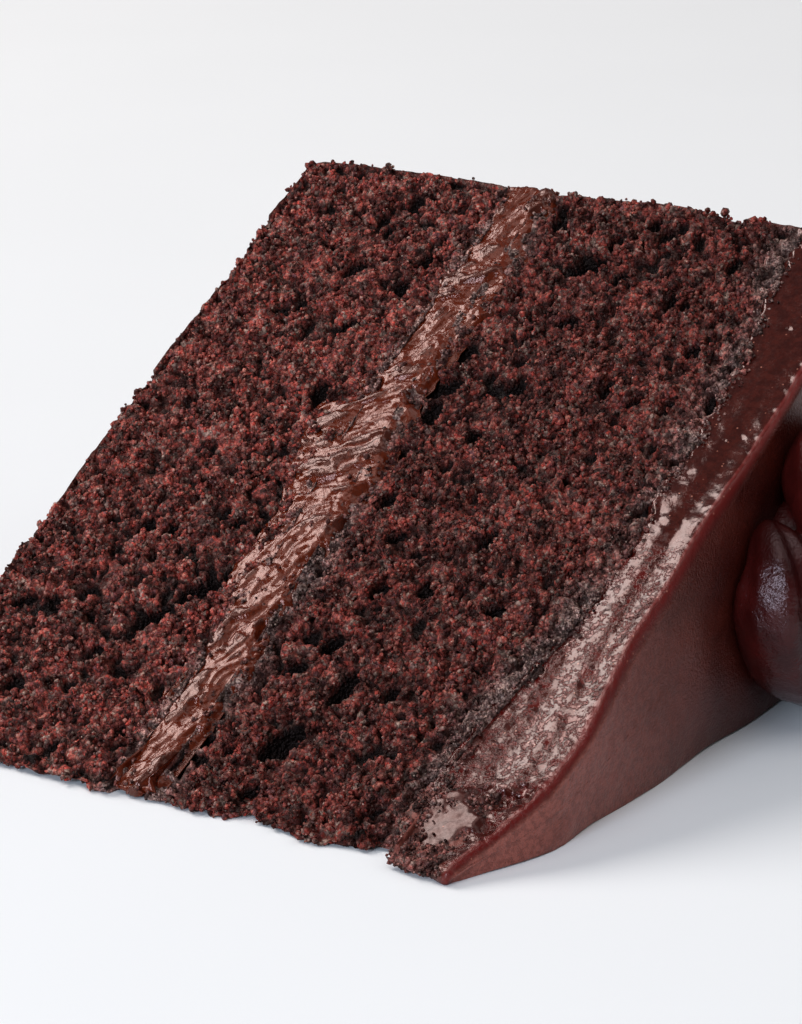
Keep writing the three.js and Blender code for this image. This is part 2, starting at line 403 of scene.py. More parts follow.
class Side(Enum):
    """The stretches of a layer's outline, counter-clockwise seen from the iced side."""

    POINT = 0
    LYING = 1
    RIM = 2
    FACE = 3


@dataclass(frozen=True)
class Spacing:
    """Distances between the columns of a layer's wall on each stretch of its outline."""

    face: float
    rim: float
    lying: float
    point_columns: int = 10


class Outline:
    """The columns of a layer's wall and where they stand across the cake's axis."""

    blend: float = 22.0

    def __init__(self, spacing: Spacing) -> None:
        """Lays the columns out.

        Args:
            spacing: the distances between columns.
        """
        counts = {
            Side.POINT: spacing.point_columns,
            Side.LYING: round(CAKE_RADIUS / spacing.lying),
            Side.RIM: round(CAKE_RADIUS * SLICE_ANGLE / spacing.rim),
            Side.FACE: round(CAKE_RADIUS / spacing.face),
        }
        sides: list[Array] = []
        shares: list[Array] = []
        for side in Side:
            sides.append(np.full(counts[side], side.value))
            shares.append(np.arange(counts[side]) / counts[side])
        self.side = np.concatenate(sides)
        self.share = np.concatenate(shares)

    @property
    def columns(self) -> int:
        """The number of columns."""
        return len(self.side)

    def on(self, side: Side) -> Array:
        """Marks the columns that stand on one stretch."""
        return self.side == side.value

    def normals(self) -> Array:
        """The outward direction of each column, across the cake's axis.

        Returns:
            A direction for each column.
        """
        normals = np.zeros((self.columns, 2))
        nose = self._nose_angle()
        point = self.on(Side.POINT)
        normals[point] = np.stack([np.cos(nose), np.sin(nose)], axis=-1)[point]
        normals[self.on(Side.LYING)] = (0.0, -1.0)
        rim = self.on(Side.RIM)
        angle = SLICE_ANGLE * self.share
        normals[rim] = np.stack([np.cos(angle), np.sin(angle)], axis=-1)[rim]
        normals[self.on(Side.FACE)] = (-math.sin(SLICE_ANGLE), math.cos(SLICE_ANGLE))
        return normals

    def _nose_angle(self) -> Array:
        """The angle of each column round the slice's point."""
        start = math.pi / 2.0 + SLICE_ANGLE
        return start + (1.5 * math.pi - start) * self.share

    def place(self, rim_inset: Array, reach: Array, rounding: float) -> Array:
        """Places the columns for each row of a wall.

        Args:
            rim_inset: how far the rim is drawn in, one number a row.
            reach: how far the point reaches along Y, one number a row.
            rounding: radius of the slice's point.

        Returns:
            Y and Z of each column in each row, as rows by columns by 2.
        """
        rim = (CAKE_RADIUS - rim_inset)[:, None]
        middle = (reach + rounding)[:, None]
        share = self.share[None, :]
        nose = self._nose_angle()[None, :]
        nose_y = middle + rounding * np.cos(nose)
        nose_z = rounding * (1.0 + np.sin(nose)) + 0.0 * middle
        lying_y = middle + (rim - middle) * share
        rim_y = rim * np.cos(SLICE_ANGLE * share)
        rim_z = rim * np.sin(SLICE_ANGLE * share)
        along = np.array([math.cos(SLICE_ANGLE), math.sin(SLICE_ANGLE)])
        start = math.pi / 2.0 + SLICE_ANGLE
        first_y = middle + rounding * math.cos(start)
        first_z = rounding * (1.0 + math.sin(start))
        first_radius = first_y * along[0] + first_z * along[1]
        radius = rim + (first_radius - rim) * share
        lift = np.clip(1.0 - (radius - first_radius) / self.blend, 0.0, 1.0) ** 2
        face_y = radius * along[0] + (first_y - first_radius * along[0]) * lift
        face_z = radius * along[1] + (first_z - first_radius * along[1]) * lift
        y = np.zeros(rim.shape) + np.zeros(share.shape)
        z = y.copy()
        for side, side_y, side_z in (
            (Side.POINT, nose_y, nose_z),
            (Side.LYING, lying_y, 0.0 * lying_y),
            (Side.RIM, rim_y, rim_z),
            (Side.FACE, face_y, face_z),
        ):
            here = self.on(side)[None, :]
            y = np.where(here, side_y, y)
            z = np.where(here, side_z, z)
        return np.stack([y, z], axis=-1)


@dataclass
class Shell:
    """A closed skin made of rings of equal length, from a first centre to a last one.

    rings holds rings by columns by 3 places in cake coordinates.
    """

    rings: Array
    first: Array
    last: Array
    values: dict[str, Array] = field(default_factory=dict)

    def round_off(self, passes: int) -> None:
        """Rounds sharp edges by averaging each place with its neighbours.

        Args:
            passes: how often the places are averaged.
        """
        rings = self.rings
        for _ in range(passes):
            rings = 0.5 * rings + 0.25 * (np.roll(rings, 1, axis=1) + np.roll(rings, -1, axis=1))
            inner = 0.5 * rings[1:-1] + 0.25 * (rings[:-2] + rings[2:])
            rings = np.concatenate([rings[:1], inner, rings[-1:]])
        self.rings = rings

    def normals(self, passes: int = 2) -> Array:
        """The outward directions of the skin.

        Args:
            passes: how often the directions are averaged with their neighbours.

        Returns:
            A direction of length 1 for each place of the rings.
        """
        across = np.roll(self.rings, -1, axis=1) - np.roll(self.rings, 1, axis=1)
        upwards = np.gradient(self.rings, axis=0)
        normals = unit(np.cross(across, upwards))
        for _ in range(passes):
            normals = normals + 0.5 * (np.roll(normals, 1, axis=1) + np.roll(normals, -1, axis=1))
            inner = normals[1:-1] + 0.5 * (normals[:-2] + normals[2:])
            normals = unit(np.concatenate([normals[:1] * 2.0, inner, normals[-1:] * 2.0]))
        return normals

    def faces(self) -> tuple[Array, Array]:
        """The skin's squares and its two fans of triangles, as indices of places().

        Returns:
            The squares and the triangles.
        """
        rings, columns = self.rings.shape[:2]
        at = 1 + np.arange(rings * columns).reshape(rings, columns)
        right = np.roll(at, -1, axis=1)
        squares = np.stack([at[:-1], right[:-1], right[1:], at[1:]], axis=-1).reshape(-1, 4)
        last = 1 + rings * columns
        low = np.stack([0 * at[0], right[0], at[0]], axis=-1)
        high = np.stack([at[-1], right[-1], 0 * at[-1] + last], axis=-1)
        return squares, np.concatenate([low, high])

    def places(self) -> Array:
        """Every place of the skin in one list: the first centre, the rings, the last centre."""
        return np.concatenate([self.first[None], self.rings.reshape(-1, 3), self.last[None]])

    def value_list(self, name: str) -> Array:
        """One of the skin's values, in the order of places()."""
        values = self.values[name]
        return np.concatenate([[values[0].mean()], values.ravel(), [values[-1].mean()]])

    def to_piece(self, name: str, place: CakePlace, shown: tuple[str, ...]) -> bpy.types.Object:
        """Makes the skin's object.

        Args:
            name: the object's name.
            place: where cake coordinates lie in the frame.
            shown: the values that its finish reads.

        Returns:
            The object.
        """
        squares, triangles = self.faces()
        piece = make_object(name, place.to_frame(self.places()), squares, triangles)
        for value in shown:
            set_values(piece, value, self.value_list(value))
        return piece


def make_object(name: str, spots: Array, squares: Array, triangles: Array) -> bpy.types.Object:
    """Makes a smooth shaded mesh object.

    Args:
        name: the object's name.
        spots: the mesh's places in the frame, in metres.
        squares: faces of four corners.
        triangles: faces of three corners.

    Returns:
        The new object, linked to the scene.
    """
    mesh = bpy.data.meshes.new(name)
    mesh.vertices.add(len(spots))
    mesh.vertices.foreach_set("co", spots.astype(np.float32).ravel())
    corners = np.concatenate([squares.ravel(), triangles.ravel()]).astype(np.int32)
    lengths = np.concatenate([np.full(len(squares), 4), np.full(len(triangles), 3)])
    starts = np.concatenate([[0], np.cumsum(lengths)[:-1]]).astype(np.int32)
    mesh.loops.add(len(corners))
    mesh.loops.foreach_set("vertex_index", corners)
    mesh.polygons.add(len(lengths))
    mesh.polygons.foreach_set("loop_start", starts)
    mesh.polygons.foreach_set("use_smooth", np.ones(len(lengths), dtype=bool))
    mesh.update(calc_edges=True)
    mesh.validate()
    piece = bpy.data.objects.new(name, mesh)
    bpy.context.scene.collection.objects.link(piece)
    return piece


def set_values(piece: bpy.types.Object, name: str, values: Array) -> None:
    """Stores one number for each of a piece's places, for its finish to read.

    Args:
        piece: the mesh object.
        name: what the finish calls the numbers.
        values: one number for each place.
    """
    layer = piece.data.attributes.new(name, "FLOAT", "POINT")
    layer.data.foreach_set("value", values.astype(np.float32))


def cap_rings(edge: Array, sizes: Array, surface: Surface) -> Array:
    """Shrinks a layer's edge ring towards its middle to cover its floor or roof.

    Args:
        edge: the edge ring, columns by 3.
        sizes: the size of each smaller ring, as a share of the edge ring's.
        surface: gives the floor's or roof's height from Y and Z.

    Returns:
        The smaller rings, rings by columns by 3.
    """
    middle = middle_of_slice()
    flat = middle + (edge[None, :, 1:] - middle) * sizes[:, None, None]
    height = surface(flat[..., 0], flat[..., 1])
    seam = edge[None, :, 0] - surface(edge[None, :, 1], edge[None, :, 2])
    height = height + seam * smooth_step(sizes, SEAM_FROM, 1.0)[:, None]
    return np.concatenate([height[..., None], flat], axis=-1)


def tucked_ring(flat: Array, normals: Array, surface: Surface) -> Array:
    """Draws the edge of a wall in over the layer beside it, where nothing shows it.

    Args:
        flat: Y and Z of the wall's edge before its relief, columns by 2.
        normals: the columns' outward directions.
        surface: gives the other layer's height from Y and Z.

    Returns:
        The ring, columns by 3.
    """
    inner = flat - normals * TUCK
    height = surface(inner[:, 0], inner[:, 1])
    return np.concatenate([height[:, None], inner], axis=-1)


def centre_on(surface: Surface) -> Array:
    """The middle of a layer's floor or roof."""
    middle = middle_of_slice()
    return np.array([float(surface(*middle)), *middle])


def shown_rings(count: int) -> Array:
    """The sizes of the rings of a floor or roof in sight, closest together at its edge."""
    return 1.0 - (np.arange(1, count) / count) ** RING_GATHER


def close_up(
    wall: Array, floor: Surface, floor_sizes: Array, roof: Surface, roof_sizes: Array
) -> Shell:
    """Closes a wall with a floor and a roof.

    Args:
        wall: the wall's rings, from the lowest to the highest.
        floor: gives the floor's height from Y and Z.
        floor_sizes: the sizes of the floor's rings, the outermost first.
        roof: gives the roof's height from Y and Z.
        roof_sizes: the sizes of the roof's rings, the outermost first.

    Returns:
        The closed skin.
    """
    below = cap_rings(wall[0], floor_sizes[::-1], floor)
    above = cap_rings(wall[-1], roof_sizes, roof)
    return Shell(np.concatenate([below, wall, above]), centre_on(floor), centre_on(roof))


def smeared_columns(outline: Outline, at_point: float) -> Array:
    """How far the knife's smear reaches each column: fully on the upper cut face.

    Args:
        outline: the layer's columns.
        at_point: the share at the slice's point.

    Returns:
        A share from 0 to 1 for each column.
    """
    share = outline.on(Side.FACE).astype(float)
    for _ in range(SMEAR_EASING):
        share = (np.roll(share, 1) + 2.0 * share + np.roll(share, -1)) / 4.0
    return np.clip(share + at_point * outline.on(Side.POINT), 0.0, 1.0)


def soft_normals(outline: Outline) -> Array:
    """The outward direction of each column, eased round the corners.

    Args:
        outline: the layer's columns.

    Returns:
        A direction of length 1 for each column.
    """
    normals = outline.normals()
    for _ in range(CORNER_EASING):
        normals = unit(np.roll(normals, 1, 0) + 2.0 * normals + np.roll(normals, -1, 0))
    return normals


def middle_of_slice() -> Array:
    """A spot well inside the slice's outline, from which all of it is in sight."""
    half = SLICE_ANGLE / 2.0
    return MIDDLE_SHARE * CAKE_RADIUS * np.array([math.cos(half), math.sin(half)])


# ---------------------------------------------------------------- relief of the baked crumb


@dataclass(frozen=True)
class Pore:
    """A larger hole in the upper cut face, by height in the cake and distance from its axis."""

    x: float
    distance: float
    length: float
    width: float
    depth: float


PORES = (
    Pore(49.5, 12.0, 6.3, 3.5, 3.5),
    Pore(26.5, 29.5, 5.9, 3.5, 4.1),
    Pore(29.5, 33.0, 4.1, 2.8, 3.2),
    Pore(23.0, 24.5, 5.6, 3.1, 3.2),
    Pore(25.5, 40.0, 3.2, 2.0, 2.3),
    Pore(17.5, 37.0, 2.7, 1.8, 2.0),
    Pore(14.0, 37.0, 2.9, 1.8, 2.0),
    Pore(19.0, 17.5, 3.4, 1.9, 2.2),
    Pore(40.5, 9.5, 2.9, 2.0, 2.3),
    Pore(39.5, 6.0, 3.9, 2.4, 2.4),
    Pore(23.5, 3.0, 2.9, 1.9, 2.0),
    Pore(5.0, 22.5, 3.4, 1.9, 2.2),
    Pore(52.5, 21.0, 5.6, 2.8, 3.1),
    Pore(47.5, 26.5, 3.4, 2.3, 2.6),
    Pore(45.0, 22.0, 3.2, 2.0, 2.3),
    Pore(42.5, 48.0, 3.4, 2.3, 2.6),
    Pore(46.5, 43.0, 2.9, 1.9, 2.2),
    Pore(49.0, 35.0, 2.9, 2.0, 2.3),
    Pore(58.0, 45.0, 4.1, 2.0, 2.7),
    Pore(64.5, 36.0, 3.2, 2.0, 2.3),
    Pore(26.0, 86.5, 3.4, 2.0, 2.3),
    Pore(17.0, 83.0, 3.7, 2.3, 2.4),
    Pore(25.0, 81.5, 2.7, 1.9, 2.0),
    Pore(13.0, 75.5, 2.9, 1.8, 2.0),
    Pore(21.5, 74.0, 3.2, 1.9, 2.2),
    Pore(24.0, 62.5, 3.4, 2.2, 2.3),
    Pore(39.5, 71.5, 5.6, 2.8, 2.4),
    Pore(40.0, 66.5, 4.9, 2.5, 2.4),
    Pore(40.5, 62.5, 4.1, 2.4, 2.3),
    Pore(48.5, 68.0, 3.2, 1.9, 2.3),
    Pore(52.5, 63.5, 2.9, 1.8, 2.2),
    Pore(40.5, 96.0, 3.4, 2.3, 2.6),
    Pore(48.0, 89.5, 5.4, 3.2, 3.5),
    Pore(50.0, 94.0, 3.4, 2.3, 2.6),
    Pore(53.0, 88.5, 2.9, 1.9, 2.2),
    Pore(50.0, 80.0, 3.2, 2.0, 2.3),
    Pore(61.5, 86.0, 3.2, 1.9, 2.3),
    Pore(65.0, 69.5, 2.9, 1.8, 2.2),
    Pore(68.0, 78.5, 2.9, 1.8, 2.2),
    Pore(66.5, 93.5, 3.2, 2.0, 2.3),
)


@dataclass(frozen=True)
class Relief:
    """What a relief does to a skin: how far it pushes outwards, how it shoves, how deep it lies."""

    push: Array
    shove: Array
    depth: Array


@dataclass(frozen=True)
class Pits:
    """A scatter of round hollows, one in a share of the cells of a noise field.

    Widths are in cell sizes; the shallowest hollows are a given share as deep as the deepest.
    """

    spacing: float
    narrow: float
    wide: float
    depth: float
    share: float
    channel: int
    shallowest: float = 0.45
    flare: float = 0.6

    def at(self, noise: Grain, spots: Array) -> Array:
        """How deep the hollows are at each place.

        Args:
            noise: the field that scatters them.
            spots: the places.

        Returns:
            A depth for each place, 0 outside the hollows.
        """
        hit = noise.cells(spots, self.spacing, self.channel)
        spread = np.clip((hit.pick - 1.0 + self.share) / self.share, 0.0, 1.0)
        width = self.narrow + (self.wide - self.narrow) * spread
        depth = self.depth * lifted(spread, self.shallowest)
        return depth * bowl(hit.near, width) ** self.flare * (hit.pick > 1.0 - self.share)


@dataclass(frozen=True)
class CrumbRelief:
    """Torn, open crumb: small rounded grains on soft lumps, with pits and clefts between them.

    Widths of grains, clefts and partings are in cell sizes.
    """

    seed: int = 11
    stretch: float = 0.74
    bend_size: float = 1.1
    bend_reach: float = 0.30
    swell: float = 0.30
    swell_size: float = 15.0
    lump_size: float = 3.2
    lump_height: float = 0.60
    grain_size: float = 1.05
    grain_width: float = 0.82
    grain_height: float = 0.40
    grain_level: float = 0.6
    grain_scatter: float = 0.46
    grain_shove: float = 0.22
    cleft_spacing: float = 1.7
    cleft_width: float = 0.26
    cleft_depth: float = 0.26
    cleft_from: float = 0.3
    cleft_scatter: float = 0.22
    cluster_spacing: float = 3.3
    cluster_bend: float = 0.5
    cluster_scatter: float = 0.30
    parting_width: float = 0.22
    parting_depth: float = 0.85
    parting_share: float = 0.75
    pressed: float = 0.15
    sunk: float = 0.15
    lump_shade: float = 0.8
    large_pits: Pits = Pits(3.3, 0.16, 0.42, 1.55, 0.56, 500)
    small_pits: Pits = Pits(1.5, 0.20, 0.46, 0.80, 0.58, 600)

    def along_layers(self, spots: Array) -> Array:
        """Stretches places so that the relief runs longer along the layers.

        Args:
            spots: the places.

        Returns:
            The stretched places.
        """
        half = SLICE_ANGLE / 2.0
        outwards = spots[..., 1] * math.cos(half) + spots[..., 2] * math.sin(half)
        across = spots[..., 2] * math.cos(half) - spots[..., 1] * math.sin(half)
        return np.stack([spots[..., 0], outwards * self.stretch, across], axis=-1)

    def at(self, spots: Array, soft: Array) -> Relief:
        """Works the relief out.

        Args:
            spots: places on the smooth skin.
            soft: how far the crumb is pressed smooth, from 0 to 1.

        Returns:
            The relief at each place.
        """
        noise = Grain(self.seed)
        warped = self.along_layers(spots)
        bend = noise.bend(warped, self.bend_size, 40)
        warped = warped + self.bend_reach * bend
        swell = self.swell * noise.rough(warped, self.swell_size, 2)
        lumps = self.lump_height * noise.rough(warped, self.lump_size, 4, 60)
        grain = noise.cells(warped, self.grain_size, 200)
        cleft = noise.cells(warped, self.cleft_spacing, 300)
        cluster = noise.cells(warped + self.cluster_bend * bend, self.cluster_spacing, 800)
        dome = np.sqrt(bowl(grain.near, self.grain_width))
        grains = self.grain_height * (dome - self.grain_level)
        grains = grains + self.grain_scatter * (grain.pick - 0.5)
        grains = grains + self.cleft_scatter * (cleft.pick - 0.5)
        grains = grains + self.cluster_scatter * (cluster.pick - 0.5)
        pits = self.large_pits.at(noise, warped) + self.small_pits.at(noise, warped)
        clefts = self.cleft_depth * smooth_fall(cleft.gap, 0.0, self.cleft_width)
        pits = pits + clefts * (cleft.near > self.cleft_from)
        partings = self.parting_depth * smooth_fall(cluster.gap, 0.0, self.parting_width)
        pits = pits + partings * (cluster.pick > 1.0 - self.parting_share)
        calm = 1.0 - self.pressed * soft
        push = swell + calm * (lumps + grains - pits) - self.sunk
        shove = self.grain_shove * grain.away * dome[..., None] * calm[..., None]
        depth = (self.lump_shade * lumps + grains - pits) * calm
        return Relief(push, shove, depth)


@dataclass(frozen=True)
class CrustRelief:
    """Baked crust: a nearly smooth skin with wrinkles, pinholes and rubbed-off places."""

    seed: int = 29
    swell: float = 0.30
    swell_size: float = 13.0
    wrinkle: float = 0.10
    wrinkle_size: float = 1.5
    wrinkle_shade: float = 2.0
    pinhole_size: float = 2.6
    pinhole_width: float = 0.10
    pinhole_spread: float = 0.14
    pinhole_share: float = 0.65
    pinhole_depth: float = 0.45
    rubbed_size: float = 7.0
    rubbed_rise: Span = (0.06, 0.34)

    def at(self, spots: Array) -> Relief:
        """Works the relief out.

        Args:
            spots: places on the smooth skin.

        Returns:
            The relief at each place.
        """
        noise = Grain(self.seed)
        swell = self.swell * noise.rough(spots, self.swell_size, 2)
        wrinkle = self.wrinkle * noise.rough(spots, self.wrinkle_size, 3, 60)
        hole = noise.cells(spots, self.pinhole_size, 100)
        width = self.pinhole_width + self.pinhole_spread * hole.pick
        dent = bowl(hole.near, width) * (hole.pick > 1.0 - self.pinhole_share)
        push = swell + wrinkle - self.pinhole_depth * dent
        return Relief(push, np.zeros(spots.shape), wrinkle * self.wrinkle_shade - dent)

    def rubbed(self, spots: Array) -> Array:
        """Where the crust is rubbed off and crumb shows, from 0 to 1."""
        rubbing = Grain(self.seed).rough(spots, self.rubbed_size, 3, 200)
        return smooth_step(rubbing, *self.rubbed_rise)


@dataclass(frozen=True)
class LargePores:
    """The larger holes of the upper cut face: uneven bowls, each tilted a little differently.

    Tilts are in degrees. brim is how far past its outline a pore still dents the crumb.
    """

    seed: int = 5
    wobble: float = 0.28
    wobble_size: float = 1.3
    tilt: float = 22.0
    tilt_spread: float = 26.0
    tilt_step: float = 2.4
    brim: float = 0.12
    steepest: float = 0.4

    def depth_at(self, spots: Array) -> Array:
        """How deep the pores are, and 0 outside them.

        Args:
            spots: places on the smooth skin.

        Returns:
            A depth for each place, kept shallow near the slice's narrow point.
        """
        x = spots[..., 0]
        distance = np.hypot(spots[..., 1], spots[..., 2])
        wobble = 1.0 + self.wobble * Grain(self.seed).rough(spots, self.wobble_size, 2)
        deepest = np.zeros(x.shape)
        for index, pore in enumerate(PORES):
            tilt = math.radians(self.tilt + self.tilt_spread * math.sin(index * self.tilt_step))
            outwards = distance - pore.distance
            along = outwards * math.cos(tilt) + (x - pore.x) * math.sin(tilt)
            across = (x - pore.x) * math.cos(tilt) - outwards * math.sin(tilt)
            inside = 1.0 - (2.0 * along / pore.length) ** 2 - (2.0 * across / pore.width) ** 2
            rounded = np.clip(inside * wobble + self.brim, 0.0, 1.0) ** 0.5
            deepest = np.maximum(deepest, pore.depth * rounded * (inside > -self.brim))
        return np.minimum(deepest, self.steepest * distance)


# ---------------------------------------------------------------- the layers


@dataclass(frozen=True)
class DampCrumb:
    """How far crumb has drawn moisture from the filling and the icing, in wandering borders.

    Each border's span holds the distances at which it starts to fade and has faded.
    """

    seed: int = 43
    wander: float = 0.6
    wander_size: float = 6.0
    under_filling: Span = (0.3, 2.0)
    under_filling_share: float = 0.8
    over_filling: Span = (0.6, 3.4)
    under_icing: Span = (0.8, 5.2)
    soaked_size: float = 8.0
    soaked_rise: Span = (-0.45, 0.20)
    driest: float = 0.35

    def border(self, spots: Array, away: Array, span: Span) -> Array:
        """A border along one surface.

        Args:
            spots: places on the smooth skin.
            away: how far each place is from the surface.
            span: the distances at which the border fades.

        Returns:
            A share from 0 to 1 for each place.
        """
        wander = 1.0 + self.wander * Grain(self.seed).rough(spots, self.wander_size, 3)
        return smooth_fall(away, span[0] * wander, span[1] * wander)

    def lower_sponge(self, spots: Array) -> Array:
        """How damp the lower sponge is, from 0 to 1."""
        below = LAYERING.filling_floor(spots[..., 1], spots[..., 2]) - spots[..., 0]
        return self.under_filling_share * self.border(spots, below, self.under_filling)

    def upper_sponge(self, spots: Array) -> Array:
        """How damp the upper sponge is, from 0 to 1.

        Args:
            spots: the places.

        Returns:
            A share for each place.
        """
        above = spots[..., 0] - LAYERING.filling_roof(spots[..., 1], spots[..., 2])
        below = LAYERING.sponge_crown(spots[..., 1], spots[..., 2]) - spots[..., 0]
        soaked = Grain(self.seed).rough(spots, self.soaked_size, 3, 40)
        soaked = lifted(smooth_step(soaked, *self.soaked_rise), self.driest)
        low = self.border(spots, above, self.over_filling)
        return np.maximum(low, self.border(spots, below, self.under_icing) * soaked)


@dataclass
class SpongeLayer:
    """One baked sponge: crumb on its cut faces, crust on its rim and its base.

    The spans called turns tell how squarely a place must face one way to count as a part of
    that side, from 0 for not at all to 1 for squarely.
    """

    name: str
    thickness: float
    low_edge: float
    high_edge: float
    base_shown: bool
    spacing: Spacing
    row_step: float
    rounding: float
    crumb: CrumbRelief = CrumbRelief()
    crust: CrustRelief = CrustRelief()
    pores: LargePores = LargePores()
    damp: DampCrumb = DampCrumb()
    bulge: float = 0.7
    base_rings: int = 40
    covered_rings: tuple[float, ...] = (0.97, *COVERED_RINGS)
    level_at: tuple[float, float] = (60.0, 16.0)
    rim_turn: Span = (0.35, 0.75)
    rim_from: Span = (40.0, 60.0)
    base_turn: Span = (0.35, 0.8)
    roof_turn: Span = (0.5, 0.9)
    face_turn: Span = (0.5, 0.9)
    lying_turn: Span = (0.6, 0.9)
    rubbed_share: float = 0.85
    pore_calm: float = 0.6
    pore_shade: float = 1.1
    middle_shade: float = 0.62
    shade_gain: float = 0.55
    skin: Shell | None = None

    def floor(self, y: Array, z: Array) -> Array:
        """Height of the layer's underside."""
        if self.base_shown:
            return 0.0 * y
        return LAYERING.filling_roof(y, z)

    def roof(self, y: Array, z: Array) -> Array:
        """Height of the layer's top."""
        if self.base_shown:
            return LAYERING.filling_floor(y, z)
        return LAYERING.sponge_crown(y, z)

    def wall_rows(self) -> tuple[Array, Array]:
        """The rows of the layer's wall, with rounded edges and a slight bulge between them.

        Returns:
            Each row's height as a share of the thickness, and how far its rim is drawn in.
        """
        shares: list[Array] = []
        insets: list[Array] = []
        for edge, rising in ((self.low_edge, True), (self.high_edge, False)):
            count = max(4, round(edge * math.pi / 2.0 / self.row_step))
            angle = np.arange(count) / count * math.pi / 2.0
            share = edge * (1.0 - np.cos(angle)) / self.thickness
            inset = edge * (1.0 - np.sin(angle))
            shares.append(share if rising else (1.0 - share)[::-1])
            insets.append(inset if rising else inset[::-1])
        low = self.low_edge / self.thickness
        high = 1.0 - self.high_edge / self.thickness
        count = round((high - low) * self.thickness / self.row_step)
        middle = np.linspace(low, high, count + 1)
        share = np.concatenate([shares[0], middle, shares[1]])
        inset = np.concatenate([insets[0], 0.0 * middle, insets[1]])
        return share, inset + self.bulge * (1.0 - np.sin(math.pi * share))

    def smooth_skin(self) -> Shell:
        """Builds the layer's smooth skin, before any relief.

        Returns:
            The skin.
        """
        outline = Outline(self.spacing)
        share, inset = self.wall_rows()
        row_height = self.floor(*np.array(self.level_at)) + share * self.thickness
        flat = outline.place(inset, point_reach(row_height), self.rounding)
        low = self.floor(flat[..., 0], flat[..., 1])
        high = self.roof(flat[..., 0], flat[..., 1])
        height = low + (high - low) * share[:, None]
        wall = np.concatenate([height[..., None], flat], axis=-1)
        covered = np.array(self.covered_rings)
        floor_sizes = shown_rings(self.base_rings) if self.base_shown else covered
        shell = close_up(wall, self.floor, floor_sizes, self.roof, covered)
        shell.round_off(3)
        return shell

    def crusted(self, spots: Array, normals: Array) -> Array:
        """Where the skin is baked crust: on the rim and the base.

        Args:
            spots: places on the smooth skin.
            normals: the skin's outward directions there.

        Returns:
            A share from 0 to 1 for each place.
        """
        radial = unit(np.stack([0.0 * spots[..., 0], spots[..., 1], spots[..., 2]], axis=-1))
        on_rim = smooth_step(np.sum(normals * radial, axis=-1), *self.rim_turn)
        on_rim = on_rim * smooth_step(np.hypot(spots[..., 1], spots[..., 2]), *self.rim_from)
        return np.clip(on_rim + smooth_step(-normals[..., 0], *self.base_turn), 0.0, 1.0)

    def covered(self, normals: Array) -> Array:
        """Where cream covers the layer, so that it needs no relief, from 0 to 1.

        Args:
            normals: the skin's outward directions.

        Returns:
            A share for each place.
        """
        on_roof = smooth_step(normals[..., 0], *self.roof_turn)
        if self.base_shown:
            return on_roof
        return np.maximum(on_roof, smooth_step(-normals[..., 0], *self.base_turn))

    def build(self, place: CakePlace) -> bpy.types.Object:
        """Builds the layer with its crumb, pores and crust.

        Args:
            place: where cake coordinates lie in the frame.

        Returns:
            The layer's object.
        """
        shell = self.smooth_skin()
        normals = shell.normals()
        spots = shell.rings
        damp = self.damp.lower_sponge(spots) if self.base_shown else self.damp.upper_sponge(spots)
        crumb = self.crumb.at(spots, damp)
        crust = self.crust.at(spots)
        crusted = self.crusted(spots, normals)
        skinned = crusted - self.crust.rubbed(spots) * crusted * self.rubbed_share
        face = np.array([0.0, -math.sin(SLICE_ANGLE), math.cos(SLICE_ANGLE)])
        pores = self.pores.depth_at(spots) * smooth_step(normals @ face, *self.face_turn)
        calm = 1.0 - self.pore_calm * np.clip(pores, 0.0, 1.0)
        uncovered = 1.0 - self.covered(normals)
        push = crumb.push * (1.0 - skinned) * calm + crust.push * skinned - pores
        push = push * uncovered
        shove = crumb.shove * (1.0 - skinned)[..., None] * uncovered[..., None]
        lying = smooth_step(-normals[..., 2], *self.lying_turn) > 0.5
        push = np.where(lying, np.minimum(push, 0.0), push)
        shell.rings = on_plate(spots + normals * push[..., None] + shove)
        # The finish paints shade from this depth: darker in pits, pores, clefts and crust wrinkles
        depth = crumb.depth * (1.0 - skinned) * calm + crust.depth * skinned
        depth = depth - self.pore_shade * pores
        shell.values = {
            "relief": np.clip(self.middle_shade + self.shade_gain * depth, 0.0, 1.0),
            "damp": damp,
            "crust": skinned,
        }
        self.skin = shell
        return shell.to_piece(self.name, place, tuple(shell.values))


@dataclass(frozen=True)
class KnifeStreaks:
    """Stepped streaks left by a knife that moved one way over the cream."""

    seed: int = 72
    bend: float = 0.5
    bend_size: float = 2.6
    stretch: float = 0.34
    size: float = 1.8
    steps: float = 2.2
    riser: Span = (0.72, 0.98)
    ripple_size: float = 0.5
    terrace_height: float = 0.95
    broad_height: float = 0.12
    ripple_height: float = 0.15

    def at(self, s: Array, distance: Array, turn: float, channel: int) -> Array:
        """Height of the streaks.

        Args:
            s: height in the cake.
            distance: distance from the cake's axis.
            turn: the knife's direction, from the cake's height towards its rim, in degrees.
            channel: which layer of the noise is used.

        Returns:
            A height from about -1 to 1 for each place.
        """
        noise = Grain(self.seed)
        angle = math.radians(turn)
        along = s * math.cos(angle) + distance * math.sin(angle)
        across = distance * math.cos(angle) - s * math.sin(angle)
        bend = self.bend * noise.soft(on_sheet(across, along), self.bend_size, channel + 90)
        streak = on_sheet(across + bend, along * self.stretch)
        broad = noise.rough(streak, self.size, 3, channel)
        steps = broad * self.steps
        whole = np.floor(steps)
        terrace = (whole + smooth_step(steps - whole, *self.riser)) / self.steps
        ripple = noise.rough(streak, self.ripple_size, 2, channel + 50)
        height = self.terrace_height * terrace + self.broad_height * broad
        return height + self.ripple_height * ripple


